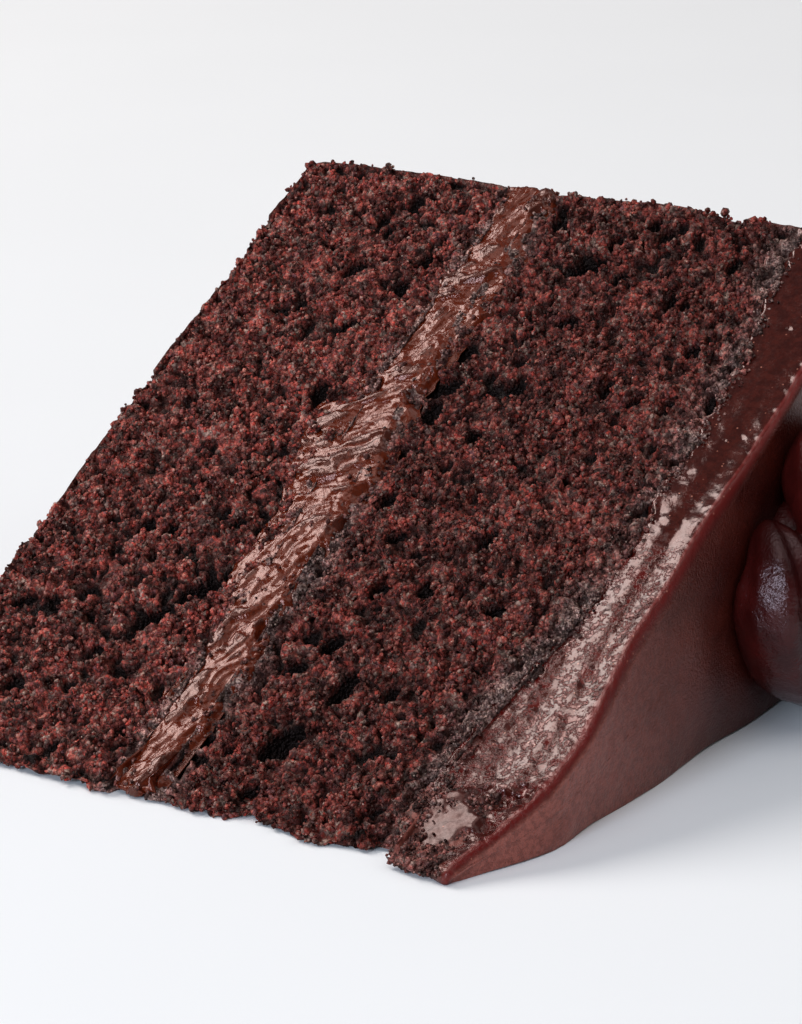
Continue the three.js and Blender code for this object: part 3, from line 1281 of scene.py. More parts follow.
@dataclass
class FillingLayer:
    """The cream between the sponges, smeared by the knife over the crumb beside it.

    Turns are in degrees. crosswise lists where the knife moved more steeply, as the distances
    from the axis over which that begins and ends. edge_crumb holds how far inside the cream's
    edge most crumb is dragged over it, and how wide that strip is.
    """

    name: str = "filling_cream"
    spacing: Spacing = Spacing(face=0.24, rim=0.5, lying=2.0)
    rows: int = 66
    rounding: float = 0.6
    at_point: float = 0.7
    seed: int = 73
    streaks: KnifeStreaks = KnifeStreaks()
    gaps: Pits = Pits(4.6, 0.10, 0.24, 1.0, 0.42, 700)
    lengthwise_turn: float = 68.0
    crosswise_turn: float = 30.0
    crosswise: tuple[tuple[Span, Span], ...] = (
        ((38.0, 48.0), (64.0, 72.0)),
        ((77.0, 81.0), (85.0, 90.0)),
    )
    stretch: float = 0.7
    low_wander: float = 0.55
    high_wander: float = 0.45
    wander_size: float = 2.2
    feather: float = 1.3
    ragged: float = 1.1
    ragged_size: float = 1.6
    ragged_rise: Span = (0.0, 0.8)
    edge_rise: Span = (0.2, 2.2)
    lift: float = 0.12
    streak_height: float = 0.52
    lean: float = 0.05
    sink: float = 1.0
    set_back: float = 1.3
    edge_set_back: float = 0.4
    swell: float = 0.5
    swell_size: float = 4.0
    dimple: float = 0.16
    dimple_size: float = 1.3
    pale_rise: Span = (-0.15, 0.5)
    gap_pale: float = 1.4
    edge_crumb: Span = (1.0, 0.8)
    strewn: float = 0.25
    strewn_size: float = 3.0
    strewn_rise: Span = (0.2, 0.5)
    strewn_from: Span = (0.5, 1.5)
    covered_pale: float = 0.4
    crumb_damp: float = 0.35
    skin: Shell | None = None

    @staticmethod
    def smeared_floor(distance: Array) -> Array:
        """Height at which the smear over the lower sponge begins, by distance from the axis."""
        distances = (0, 5, 10, 15, 20, 26, 30, 35, 45, 50, 55, 60, 65, 70, 76, 80, 90, 102)
        heights = (
            35.4, 33.8, 33.1, 32.6, 33.0, 32.8, 30.6, 30.0, 30.6, 28.2, 26.2, 25.7, 28.0, 29.2,
            30.0, 30.8, 30.4, 31.2,
        )
        return np.interp(distance, distances, heights)

    @staticmethod
    def smeared_roof(distance: Array) -> Array:
        """Height at which the smear over the upper sponge ends, by distance from the axis."""
        distances = (0, 5, 10, 20, 30, 36, 44, 50, 55, 60, 65, 70, 76, 80, 85, 92, 102)
        heights = (
            38.9, 38.2, 38.6, 39.6, 38.7, 38.0, 38.8, 39.6, 38.8, 38.0, 36.8, 37.6, 38.2, 39.2,
            38.6, 37.6, 37.4,
        )
        return np.interp(distance, distances, heights)

    def smear(self, s: Array, distance: Array) -> Array:
        """Height of the smeared cream over the cut face, from about -1 to 1."""
        crosswise = sum(between(distance, rise, fall) for rise, fall in self.crosswise)
        along = self.streaks.at(s, distance, self.lengthwise_turn, 0)
        return along + crosswise * (self.streaks.at(s, distance, self.crosswise_turn, 200) - along)

    def band(self, flat: Array, smeared: Array) -> tuple[Array, Array]:
        """The heights between which the cream reaches.

        Args:
            flat: Y and Z of the wall's places, rows by columns by 2.
            smeared: how far the knife's smear reaches each column.

        Returns:
            The lowest and the highest height for each place.
        """
        distance = np.hypot(flat[..., 0], flat[..., 1])
        low = LAYERING.filling_floor(flat[..., 0], flat[..., 1])
        high = LAYERING.filling_roof(flat[..., 0], flat[..., 1])
        noise = Grain(self.seed)
        low_wander = self.low_wander * noise.rough(on_line(distance), self.wander_size, 3, 5)
        high_wander = self.high_wander * noise.rough(on_line(distance), self.wander_size, 3, 6)
        low_smear = np.minimum(self.smeared_floor(distance) + low_wander, low)
        high_smear = np.maximum(self.smeared_roof(distance) + high_wander, high)
        low = low + (low_smear - self.feather - low) * smeared
        high = high + (high_smear + self.feather - high) * smeared
        return low, high

    def build(self, place: CakePlace) -> bpy.types.Object:
        """Builds the filling.

        Args:
            place: where cake coordinates lie in the frame.

        Returns:
            The filling's object.
        """
        outline = Outline(self.spacing)
        share = np.linspace(0.0, 1.0, self.rows)
        reach = point_reach(0.0 * share + LAYERING.filling_middle_at_point)
        flat = outline.place(0.0 * share, reach, self.rounding)
        smeared = smeared_columns(outline, self.at_point)
        low, high = self.band(flat, smeared)
        height = low + (high - low) * share[:, None]
        distance = np.hypot(flat[..., 0], flat[..., 1])
        noise = Grain(self.seed)
        sheet = on_sheet(height, distance * self.stretch)
        inside = np.minimum(height - low, high - height)
        ragged = self.ragged * noise.rough(sheet, self.ragged_size, 3, 300)
        edge = inside + ragged * smooth_step(inside, *self.ragged_rise)
        edge = smooth_step(edge, *self.edge_rise)
        streaks = self.smear(height, distance)
        gaps = self.gaps.at(noise, sheet)
        lean = self.lean * (height - 0.5 * (low + high))
        over = self.lift + self.streak_height * streaks - gaps + lean
        spread = over * edge - self.sink * (1.0 - edge)
        spots = np.concatenate([height[..., None], flat], axis=-1)
        plain = self.swell * noise.rough(spots, self.swell_size, 3)
        plain = plain + self.dimple * noise.rough(spots, self.dimple_size, 2, 60)
        plain = plain - self.set_back * (1.0 - self.edge_set_back * edge)
        outwards = smeared * spread + (1.0 - smeared) * plain
        normals = soft_normals(outline)
        wall = spots.copy()
        wall[..., 1:] += normals[None] * outwards[..., None]
        wall = np.concatenate([
            tucked_ring(flat[0], normals, LAYERING.filling_floor)[None],
            wall,
            tucked_ring(flat[-1], normals, LAYERING.filling_roof)[None],
        ])
        covered = np.array(COVERED_RINGS)
        floor, roof = LAYERING.filling_floor, LAYERING.filling_roof
        shell = close_up(wall, floor, covered, roof, covered)
        shell.rings = on_plate(shell.rings)
        pale = smooth_step(streaks - self.gap_pale * gaps, *self.pale_rise)
        caps = np.full((len(covered) + 1, outline.columns), self.covered_pale)
        strewn = noise.rough(sheet, self.strewn_size, 3, 400)
        strewn = self.strewn * smooth_step(strewn, *self.strewn_rise)
        strewn = strewn * smooth_step(inside, *self.strewn_from)
        open_crumb = np.maximum(hill(inside, *self.edge_crumb), strewn)
        shell.values = {
            "pale": np.concatenate([caps, pale, caps]),
            "crust": 1.0 - np.concatenate([0.0 * caps, open_crumb, 0.0 * caps]),
            "relief": np.full(shell.rings.shape[:2], 0.5),
            "damp": np.full(shell.rings.shape[:2], self.crumb_damp),
        }
        self.skin = shell
        return shell.to_piece(self.name, place, ("pale",))


@dataclass(frozen=True)
class Scar:
    """A small dent in the icing's cut edge, by height in the cake and distance from its axis."""

    x: float
    distance: float
    width: float
    depth: float

    def at(self, s: Array, distance: Array, uneven: Array) -> Array:
        """How deep the dent is, with an uneven outline."""
        away = np.hypot(s - self.x, distance - self.distance)
        return self.depth * bowl(away * uneven, self.width)


@dataclass(frozen=True)
class SmoothPatch:
    """A smooth glossy patch of icing among the crumb near the slice's point."""

    x: float = 74.9
    distance: float = 7.4
    half_height: float = 3.5
    half_length: float = 3.9
    seed: int = 89
    wander: float = 0.60
    wander_size: float = 1.8
    edge: Span = (0.55, 1.30)
    level_x: float = 75.0
    lift: float = 0.60
    lean_upwards: float = 0.06
    lean_outwards: float = 0.15

    def at(self, s: Array, distance: Array) -> Array:
        """Where the patch lies, from 0 to 1.

        Args:
            s: height in the cake.
            distance: distance from the cake's axis.

        Returns:
            A share for each place.
        """
        wander = self.wander * Grain(self.seed).rough(on_sheet(s, distance), self.wander_size, 3)
        away = ((s - self.x) / self.half_height) ** 2
        away = away + ((distance - self.distance) / self.half_length) ** 2 + wander
        return smooth_fall(away, *self.edge)

    def height(self, s: Array, distance: Array) -> Array:
        """Height of the patch over the cut face, without its wrinkles."""
        upwards = self.lean_upwards * (s - self.level_x)
        return self.lift + upwards + self.lean_outwards * (distance - self.distance)


@dataclass(frozen=True)
class CutIcing:
    """The relief of the icing's cut edge: swells, bumps, a smooth patch, crumb and dents.

    Heights are over the cut face. Spans of distances from the cake's axis tell where a feature
    fades. turn is the direction of the knife's streaks, in degrees.
    """

    seed: int = 83
    turn: float = 24.0
    squeeze: float = 0.80
    bend: float = 0.22
    bend_size: float = 1.2
    level: float = 0.02
    lip: float = 0.36
    lip_fall: Span = (0.7, 3.6)
    swell: float = 0.18
    swell_below: float = 5.2
    swell_width: float = 1.2
    swell_unevenness: float = 0.25
    swell_size: float = 6.0
    swells_to: Span = (56.0, 76.0)
    least_swell: float = 0.12
    lean: float = 0.12
    lean_middle: float = 4.0
    lean_to: Span = (34.0, 60.0)
    ragged: float = 9.0
    ragged_size: float = 4.0
    outward_lean: float = 0.03
    outward_range: Span = (16.0, 52.0)
    outward_middle: float = 30.0
    outward_to: Span = (52.0, 70.0)
    broad: float = 0.04
    broad_size: float = 3.4
    bump_size: float = 1.4
    bump_height: float = 0.082
    beaded_to: float = 50.0
    beaded_fade: float = 9.0
    beaded_size: float = 5.0
    least_beaded: float = 0.25
    wrinkle: float = 0.10
    wrinkle_size: float = 1.3
    scar_unevenness: float = 0.5
    scar_grain: float = 0.8
    fleck_size: float = 0.85
    fleck: float = 0.10
    lump: float = 0.42
    lump_size: float = 1.7
    crumb_lift: float = 0.1
    crumb_wander: float = 1.6
    crumb_wander_size: float = 2.6
    ridge_wander: float = 0.6
    crumb_to: Span = (9.0, 12.0)
    crumb_below: Span = (76.8, 78.4)
    patch: SmoothPatch = SmoothPatch()
    scars: tuple[Scar, ...] = (
        Scar(78.3, 11.4, 1.7, 1.0),
        Scar(81.6, 12.2, 1.3, 0.7),
        Scar(80.2, 13.6, 1.1, 0.5),
        Scar(76.4, 12.0, 1.2, 0.6),
        Scar(79.6, 7.2, 1.4, 0.6),
        Scar(81.0, 66.2, 0.5, 0.10),
        Scar(79.0, 65.4, 0.5, 0.10),
        Scar(78.4, 84.0, 0.5, 0.12),
    )

    def bands(self, below_ridge: Array) -> Array:
        """The long swells of the cut edge: one under the ridge, one beside the sponge."""
        lip = self.lip * smooth_fall(below_ridge, *self.lip_fall)
        return lip + self.swell * hill(below_ridge, self.swell_below, self.swell_width)

    def beaded(self, spots: Array, distance: Array) -> Array:
        """Where the cut edge is beaded with small bumps: towards the point, fading outwards."""
        patches = self.beaded_fade * Grain(self.seed).rough(spots, self.beaded_size, 2, 20)
        inwards = self.beaded_to - distance + patches
        return smooth_step(inwards, -self.beaded_fade, self.beaded_fade)

    def crumbly(self, s: Array, distance: Array) -> Array:
        """Where crumb is dragged over the icing near the slice's point, around a smooth patch.

        Args:
            s: height in the cake.
            distance: distance from the cake's axis.

        Returns:
            A share for each place.
        """
        wander = Grain(self.seed + 5).rough(on_sheet(s, distance), self.crumb_wander_size, 3)
        wander = self.crumb_wander * wander
        near_point = smooth_fall(distance + wander, *self.crumb_to)
        under_ridge = smooth_fall(s + self.ridge_wander * wander, *self.crumb_below)
        return near_point * under_ridge * (1.0 - self.patch.at(s, distance))

    def along_streaks(self, s: Array, distance: Array) -> Array:
        """Places on the cut face, turned and bent so that noise follows the knife's streaks.

        Args:
            s: height in the cake.
            distance: distance from the cake's axis.

        Returns:
            The turned and bent places.
        """
        turn = math.radians(self.turn)
        along = distance * math.cos(turn) + s * math.sin(turn)
        across = s * math.cos(turn) - distance * math.sin(turn)
        spots = on_sheet(across * self.squeeze, along)
        return spots + self.bend * Grain(self.seed).bend(spots, self.bend_size, 140)

    def leaning(self, spots: Array, distance: Array, below_ridge: Array) -> Array:
        """How the cut edge leans: towards its ridge near the point, and then outwards.

        Args:
            spots: the places along the knife's streaks.
            distance: distance from the cake's axis.
            below_ridge: how far each place is below the ridge.

        Returns:
            A height for each place.
        """
        ragged = self.ragged * Grain(self.seed).rough(spots, self.ragged_size, 4, 350)
        ragged = distance + ragged
        below = np.minimum(below_ridge, 2.0 * self.lean_middle)
        lean = self.lean * (self.lean_middle - below) * smooth_fall(ragged, *self.lean_to)
        outwards = np.clip(distance, *self.outward_range) - self.outward_middle
        return lean + self.outward_lean * outwards * smooth_fall(distance, *self.outward_to)

    def at(self, s: Array, distance: Array, below_ridge: Array) -> Array:
        """Height of the icing over the cut face.

        Args:
            s: height in the cake.
            distance: distance from the cake's axis.
            below_ridge: how far each place is below the ridge.

        Returns:
            A height for each place.
        """
        noise = Grain(self.seed)
        spots = self.along_streaks(s, distance)
        patch = self.patch.at(s, distance)
        rest = 1.0 - patch
        inward = lifted(smooth_fall(distance, *self.swells_to), self.least_swell)
        uneven = 1.0 + self.swell_unevenness * noise.rough(spots, self.swell_size, 2, 90)
        bands = self.bands(below_ridge) * uneven
        height = self.level + bands * inward * rest + self.leaning(spots, distance, below_ridge)
        height = height + self.broad * noise.rough(spots, self.broad_size, 2, 40) * rest
        beaded = lifted(self.beaded(spots, distance), self.least_beaded) * rest
        height = height + self.bump_height * beaded * noise.rough(spots, self.bump_size, 3, 260)
        wrinkles = self.wrinkle * noise.rough(spots, self.wrinkle_size, 4, 330)
        height = height + patch * (self.patch.height(s, distance) + wrinkles)
        uneven = 1.0 + self.scar_unevenness * noise.soft(spots, self.scar_grain, 170)
        for scar in self.scars:
            height = height - scar.at(s, distance, uneven)
        flecks = self.fleck * (noise.cells(spots, self.fleck_size).pick - 0.5)
        lumps = self.lump * noise.rough(spots, self.lump_size, 4, 210) + flecks
        return height + self.crumbly(s, distance) * (lumps + self.crumb_lift)


@dataclass(frozen=True)
class IcingWall:
    """The icing's wall while it is made: its places, rows by columns, and what shapes them.

    bend is the angle that each row has turned over towards the top, and share its height as a
    share of the straight part. Both are one column, to be spread over all columns.
    """

    columns: int
    share: Array
    bend: Array
    smeared: Array
    distance: Array
    foot: Array
    height: Array
    spots: Array


@dataclass
class IcingTop:
    """The icing over the upper sponge: a spread top, a rounded shoulder and a cut edge.

    The spans called turns are angles, in radians, over which the wall turns into the top.
    """

    name: str = "icing_layer"
    spacing: Spacing = Spacing(face=0.20, rim=0.55, lying=2.2)
    cut: CutIcing = CutIcing()
    row_step: float = 0.19
    turn_rows: int = 8
    roof_rings: int = 36
    rounding: float = 0.8
    at_point: float = 0.8
    margin: float = 2.0
    shoulder: float = 7.6
    ridge: float = 0.8
    waver: float = 0.12
    waver_size: float = 1.5
    waver_rows: Span = (0.90, 1.0)
    waver_turn: Span = (0.2, 1.2)
    upright_turn: Span = (0.3, 1.3)
    flange: float = 1.2
    flange_wander: float = 0.9
    flange_size: float = 2.6
    flange_most: float = 2.4
    sink: float = 0.6
    foot_inward: Span = (46.0, 58.0)
    foot_rise: float = 0.8
    foot_rise_inward: float = 1.4
    plain_wave: float = 0.18
    plain_size: float = 5.0
    plain_turn: float = 0.2
    spread_mark: float = 0.22
    spread_size: float = 12.0
    spread_stretch: tuple[float, float] = (0.9, 0.55)
    cut_turn: Span = (0.6, 1.5)
    lit_turn: tuple[Span, Span] = ((0.05, 0.5), (0.6, 1.25))
    lit_rows: Span = (0.95, 0.985)
    lit_below: float = 0.8
    lit_below_turn: Span = (0.0, 0.5)
    border: float = 0.9
    border_middle: float = 0.9
    border_width: float = 0.7
    border_inward: float = 0.9
    border_from: Span = (8.0, 18.0)
    border_size: float = 5.0
    border_rise: Span = (-0.30, 0.30)
    border_least: float = 0.3
    # Painted sheen: the top lighter towards the slice's point, standing in for the floor's
    # reflection
    painted_sheen: float = 0.9
    painted_sheen_to: Span = (12.0, 56.0)
    driest: float = 0.30
    soaked: float = 0.5
    soaked_size: float = 6.0
    soaked_rise: Span = (-0.35, 0.25)
    seed: int = 85
    roof_seed: int = 84
    skin: Shell | None = None

    def roof(self, y: Array, z: Array) -> Array:
        """Height of the icing's top with its long, soft spreading marks.

        Args:
            y: places along Y.
            z: places along Z.

        Returns:
            A height for each place.
        """
        along, across = self.spread_stretch
        spots = np.stack([0.0 * y, y * along, z * across], axis=-1)
        marks = Grain(self.roof_seed).rough(spots, self.spread_size, 2)
        return LAYERING.icing_face(y, z) + self.spread_mark * marks

    def wall_rows(self, thickness: float) -> tuple[Array, Array]:
        """The rows of the icing's wall, up to where it turns over into its top.

        Args:
            thickness: the wall's height.

        Returns:
            Each row's height as a share of the straight part, and the angle that it has turned.
        """
        straight = round((thickness - self.ridge) / self.row_step)
        share = np.linspace(0.0, 1.0, straight)
        turns = np.linspace(0.0, math.pi / 2.0, self.turn_rows)[1:]
        share_all = np.concatenate([share, np.ones(len(turns))])
        return share_all, np.concatenate([0.0 * share, turns])

    def wall(self) -> IcingWall:
        """Builds the wall: a cut edge on the upper face, and plain icing on the other sides.

        Returns:
            The wall.
        """
        outline = Outline(self.spacing)
        thickness = LAYERING.icing_top - LAYERING.crown + self.margin
        share, bend = self.wall_rows(thickness)
        lift = (thickness - self.ridge) * share + self.ridge * np.sin(bend)
        left = np.clip(self.shoulder - thickness + lift, 0.0, self.shoulder) / self.shoulder
        inset = self.shoulder * (1.0 - np.sqrt(1.0 - left**2))
        reach = point_reach(0.0 * share + LAYERING.crown)
        flat = outline.place(inset, reach, self.rounding)
        y = flat[..., 0]
        z = flat[..., 1]
        share = share[:, None]
        bend = bend[:, None]
        distance = np.hypot(y, z)
        smeared = smeared_columns(outline, self.at_point)
        noise = Grain(self.seed)
        line = on_line(distance)
        flange = self.flange + self.flange_wander * noise.rough(line, self.flange_size, 4)
        foot = LAYERING.sponge_crown(y, z) - np.clip(flange, 0.0, self.flange_most) * smeared
        top = self.roof(y, z)
        height = foot + (top - self.ridge - foot) * share + self.ridge * np.sin(bend)
        rise = self.foot_rise + self.foot_rise_inward * smooth_fall(distance, *self.foot_inward)
        edge = smooth_step((height - foot) / rise, 0.0, 1.0)
        over = self.cut.at(height, distance, top - height)
        turned = self.ridge * (1.0 - np.cos(bend))
        upmost = smooth_step(share, *self.waver_rows) * smooth_fall(bend, *self.waver_turn)
        waver = self.waver * noise.rough(line, self.waver_size, 3, 30) * upmost
        upright = smooth_fall(bend, *self.upright_turn)
        spread = over * edge * upright - self.sink * (1.0 - edge) - turned + waver
        spots = np.concatenate([height[..., None], flat], axis=-1)
        plain = self.plain_wave * noise.rough(spots, self.plain_size, 3, 9)
        plain = plain - self.sink * (1.0 - edge) - turned * self.plain_turn
        outwards = smeared * spread + (1.0 - smeared) * plain
        normals = soft_normals(outline)
        spots[..., 1:] += normals[None] * outwards[..., None]
        foot_ring = tucked_ring(flat[0], normals, LAYERING.sponge_crown)
        rows = np.concatenate([foot_ring[None], spots])
        return IcingWall(outline.columns, share, bend, smeared, distance, foot, height, rows)

    def ridge_light(self, wall: IcingWall) -> Array:
        """Where the edge between the cut face and the top catches the light, from 0 to 1.

        Args:
            wall: the icing's wall.

        Returns:
            A share for each place of the wall.
        """
        turned = between(wall.bend, *self.lit_turn)
        uneven = 0.015 * Grain(self.seed).rough(on_line(wall.distance), 1.6, 4, 70)
        just_under = smooth_step(wall.share + uneven, *self.lit_rows)
        just_under = just_under * smooth_fall(wall.bend, *self.lit_below_turn)
        return np.maximum(turned, self.lit_below * just_under) * wall.smeared

    def strewn(self, wall: IcingWall) -> Array:
        """Where crumb from the sponge is strewn over the icing's foot, from 0 to 1.

        Args:
            wall: the icing's wall.

        Returns:
            A share for each place of the wall.
        """
        inward = smooth_fall(wall.distance, *self.border_from)
        width = self.border_width + self.border_inward * inward
        strip = hill(wall.height - wall.foot, self.border_middle, width)
        strewn = Grain(self.seed).rough(on_line(wall.distance), self.border_size, 3, 60)
        strewn = lifted(smooth_step(strewn, *self.border_rise), self.border_least)
        return self.border * (strip * wall.smeared * strewn)

    def looks(self, wall: IcingWall, rings: Array) -> dict[str, Array]:
        """What the icing's finish and its crumbs read.

        Args:
            wall: the icing's wall.
            rings: all rings of the icing's skin.

        Returns:
            A number for each place of the rings, by name.
        """
        below = np.zeros((len(COVERED_RINGS) + 1, wall.columns))
        above = np.zeros((self.roof_rings - 1, wall.columns))
        s = wall.height
        distance = wall.distance
        cut = (wall.smeared + 0.0 * s) * smooth_fall(wall.bend, *self.cut_turn)
        patch = self.cut.patch.at(s, distance)
        on_wall = {
            "cut": cut,
            "ridge": self.ridge_light(wall),
            "beads": self.cut.beaded(wall.spots[1:], distance) * (1.0 - patch) * cut,
            "crumbly": self.cut.crumbly(s, distance) * cut,
            "patch": patch * cut,
            "strewn": self.strewn(wall),
        }
        values = {
            name: np.concatenate([below, value, above]) for name, value in on_wall.items()
        }
        reach = np.hypot(rings[..., 1], rings[..., 2])
        # Painted sheen: lighter towards the slice's point, for the floor's reflection in the top
        values["painted_sheen"] = self.painted_sheen * smooth_fall(reach, *self.painted_sheen_to)
        soaked = Grain(self.seed).rough(rings, self.soaked_size, 2, 50)
        soaked = smooth_step(soaked, *self.soaked_rise)
        values["damp"] = self.driest + self.soaked * soaked * (1.0 - values["crumbly"])
        values["relief"] = np.full(rings.shape[:2], 0.5)
        values["crust"] = 1.0 - np.maximum(values["crumbly"], values["strewn"])
        return values

    def build(self, place: CakePlace) -> bpy.types.Object:
        """Builds the icing.

        Args:
            place: where cake coordinates lie in the frame.

        Returns:
            The icing's object.
        """
        wall = self.wall()
        covered = np.array(COVERED_RINGS)
        top_rings = shown_rings(self.roof_rings)
        shell = close_up(wall.spots, LAYERING.sponge_crown, covered, self.roof, top_rings)
        shell.rings = on_plate(shell.rings)
        shell.values = self.looks(wall, shell.rings)
        self.skin = shell
        shown = ("cut", "ridge", "beads", "crumbly", "painted_sheen", "patch")
        return shell.to_piece(self.name, place, shown)


@dataclass
class PipedSwirl:
    """A rosette of icing: one ribbed rope wound inwards and pulled up into a peak."""

    name: str = "piped_rosette"
    start: float = math.radians(139.0)
    turns: float = 2.02
    outer_reach: float = 10.6
    rope_radius: float = 5.85
    blunt_rise: float = 1.8
    blunt_ease: float = 0.75
    thinnest: float = 0.05
    ribs: int = 4
    groove: float = 0.26
    groove_width: float = 0.15
    plain_below: Span = (-0.85, -0.45)
    flatness: float = 0.05
    twist: float = math.radians(200.0)
    first_rib: float = math.radians(-8.0)
    steps: int = 420
    easing: int = 10
    around: int = 96
    voxel: float = 0.34
    soften: float = 0.5
    soften_rounds: int = 3
    sunk: float = 0.35
    tail: float = 10.0
    core_radius: float = 8.0
    core_height: float = 12.5
    core_rings: int = 12
    core_top: float = 0.96
    seed: int = 97
    wave: float = 0.20
    wave_size: float = 4.2
    pimple: float = 0.05
    pimple_size: float = 1.3
    bubble: float = 0.22
    bubble_spacing: float = 3.6
    bubble_width: float = 0.07
    bubble_spread: float = 0.06
    bubble_from: float = 0.6

    def reach(self, turn: Array) -> Array:
        """Distance of the rope's middle from the swirl's own middle."""
        turns = (0.0, 0.12, 0.70, 0.85, 0.90, 1.00, 1.25, 1.50, 1.75, 2.02)
        shares = (1.08, 0.98, 1.04, 1.12, 0.98, 0.68, 0.48, 0.34, 0.18, 0.03)
        return self.outer_reach * np.interp(turn, turns, shares)

    def lift(self, turn: Array) -> Array:
        """Height of the rope's middle over the icing."""
        turns = (0.0, 0.07, 0.14, 0.70, 0.85, 0.90, 0.94, 1.00, 1.20, 1.50, 1.75, 1.90, 2.02)
        heights = (1.2, 4.2, 5.0, 4.8, 4.6, 7.0, 9.4, 11.2, 12.2, 14.2, 16.9, 19.0, 20.4)
        return np.interp(turn, turns, heights)

    def thickness(self, turn: Array) -> Array:
        """The rope's radius.

        Args:
            turn: how many turns the rope has made.

        Returns:
            A radius for each number of turns.
        """
        turns = (0.0, 0.86, 1.00, 1.30, 1.60, 1.80, 1.92, 2.02)
        shares = (1.0, 1.0, 0.88, 0.84, 0.72, 0.50, 0.28, 0.07)
        full = self.rope_radius * np.interp(turn, turns, shares)
        length = turn * 2.0 * math.pi * self.outer_reach
        blunt = np.clip(length / self.tail, 0.0, 1.0)
        blunt = (1.0 - (1.0 - blunt) ** self.blunt_rise) ** self.blunt_ease
        return full * blunt + self.thinnest

    def eased(self, values: Array) -> Array:
        """Takes the kinks out of a row of numbers, one for each step of the rope.

        Args:
            values: one number for each step of the rope.

        Returns:
            The eased numbers.
        """
        kernel = np.hanning(2 * self.easing + 1)
        kernel /= kernel.sum()
        padded = np.pad(values, self.easing, mode="reflect", reflect_type="odd")
        return np.convolve(padded, kernel, mode="valid")

    def middle_line(self, turn: Array) -> Array:
        """The rope's middle line, in swirl coordinates.

        Args:
            turn: how many turns the rope has made.

        Returns:
            A place for each number of turns.
        """
        angle = self.start + 2.0 * math.pi * turn
        reach = self.eased(self.reach(turn))
        lift = self.eased(self.lift(turn))
        return np.stack([lift, reach * np.cos(angle), reach * np.sin(angle)], axis=-1)

    def rope(self) -> tuple[Array, Array]:
        """Winds the rope.

        Returns:
            The rope's places, steps by around by 3, and its middle line, in swirl coordinates:
            height over the icing, then the two directions across.
        """
        turn = np.linspace(0.0, self.turns, self.steps)
        middle = self.middle_line(turn)
        radius = self.thickness(turn)
        tangent = unit(np.gradient(middle, axis=0))
        side = np.zeros(middle.shape)
        across = unit(np.cross(tangent[0], np.array([1.0, 0.0, 0.0])))
        for index in range(self.steps):
            across = unit(across - tangent[index] * np.dot(across, tangent[index]))
            side[index] = across
        other = np.cross(tangent, side)
        around = np.arange(self.around) / self.around * 2.0 * math.pi
        turned = around[None, :] + self.first_rib + self.twist * (turn / self.turns)[:, None]
        from_groove = np.abs((around * self.ribs / (2.0 * math.pi)) % 1.0 - 0.5)
        groove = self.groove * hill(from_groove, 0.0, self.groove_width)
        upper = smooth_step(-np.sin(turned), *self.plain_below)
        flat = self.flatness * (1.0 - np.cos(self.ribs * around))
        wide = (radius[:, None] * (1.0 + flat - groove * upper))[..., None]
        ring = side[:, None] * np.cos(turned)[..., None] + other[:, None] * np.sin(turned)[..., None]
        spots = middle[:, None] + wide * ring
        spots[..., 0] = np.maximum(spots[..., 0], -self.sunk)
        return spots, middle

    def core(self) -> Shell:
        """A dome of icing in the swirl's middle, which closes the gap between its turns.

        Returns:
            The dome's skin.
        """
        rise = np.linspace(0.0, self.core_top, self.core_rings)[:, None]
        angle = (np.arange(self.around) / self.around * 2.0 * math.pi)[None]
        wide = self.core_radius * np.sqrt(1.0 - rise**2)
        height = self.core_height * rise - self.sunk + 0.0 * angle
        spots = np.stack([height, wide * np.cos(angle), wide * np.sin(angle)], axis=-1)
        low = self.to_cake(np.array([-self.sunk, 0.0, 0.0]))
        top = self.to_cake(np.array([self.core_height - self.sunk, 0.0, 0.0]))
        return Shell(self.to_cake(spots), low, top)

    def to_cake(self, spots: Array) -> Array:
        """Turns swirl coordinates into cake coordinates."""
        y, z = LAYERING.swirl_centre()
        return on_plate(spots + np.array([LAYERING.icing_top, y, z]))

    def one_skin(self, place: CakePlace) -> bpy.types.Mesh:
        """Melts the rope's turns and the core into one skin.

        Args:
            place: where cake coordinates lie in the frame.

        Returns:
            The skin's mesh, in the frame.
        """
        spots, middle = self.rope()
        rope = Shell(self.to_cake(spots)[::-1], self.to_cake(middle[-1]), self.to_cake(middle[0]))
        core = self.core()
        start = len(rope.places())
        rope_squares, rope_triangles = rope.faces()
        core_squares, core_triangles = core.faces()
        rough = make_object(
            "rope",
            place.to_frame(np.concatenate([rope.places(), core.places()])),
            np.concatenate([rope_squares, core_squares + start]),
            np.concatenate([rope_triangles, core_triangles + start]),
        )
        remesh = rough.modifiers.new("one_skin", "REMESH")
        remesh.mode = "VOXEL"
        remesh.voxel_size = self.voxel * MM
        smooth = rough.modifiers.new("soften", "SMOOTH")
        smooth.factor = self.soften
        smooth.iterations = self.soften_rounds
        graph = bpy.context.evaluated_depsgraph_get()
        mesh = bpy.data.meshes.new_from_object(rough.evaluated_get(graph))
        bpy.data.objects.remove(rough)
        return mesh

    def unevenness(self, where: Array) -> Array:
        """How far soft waves and small pimples push piped icing out, and bubbles dent it.

        Args:
            where: places in millimetres.

        Returns:
            How far each place is pushed, in millimetres.
        """
        noise = Grain(self.seed)
        push = self.wave * noise.rough(where, self.wave_size, 2)
        push = push + self.pimple * noise.rough(where, self.pimple_size, 2, 40)
        hole = noise.cells(where, self.bubble_spacing, 80)
        dent = bowl(hole.near, self.bubble_width + self.bubble_spread * hole.pick)
        return push - self.bubble * dent * (hole.pick > self.bubble_from)

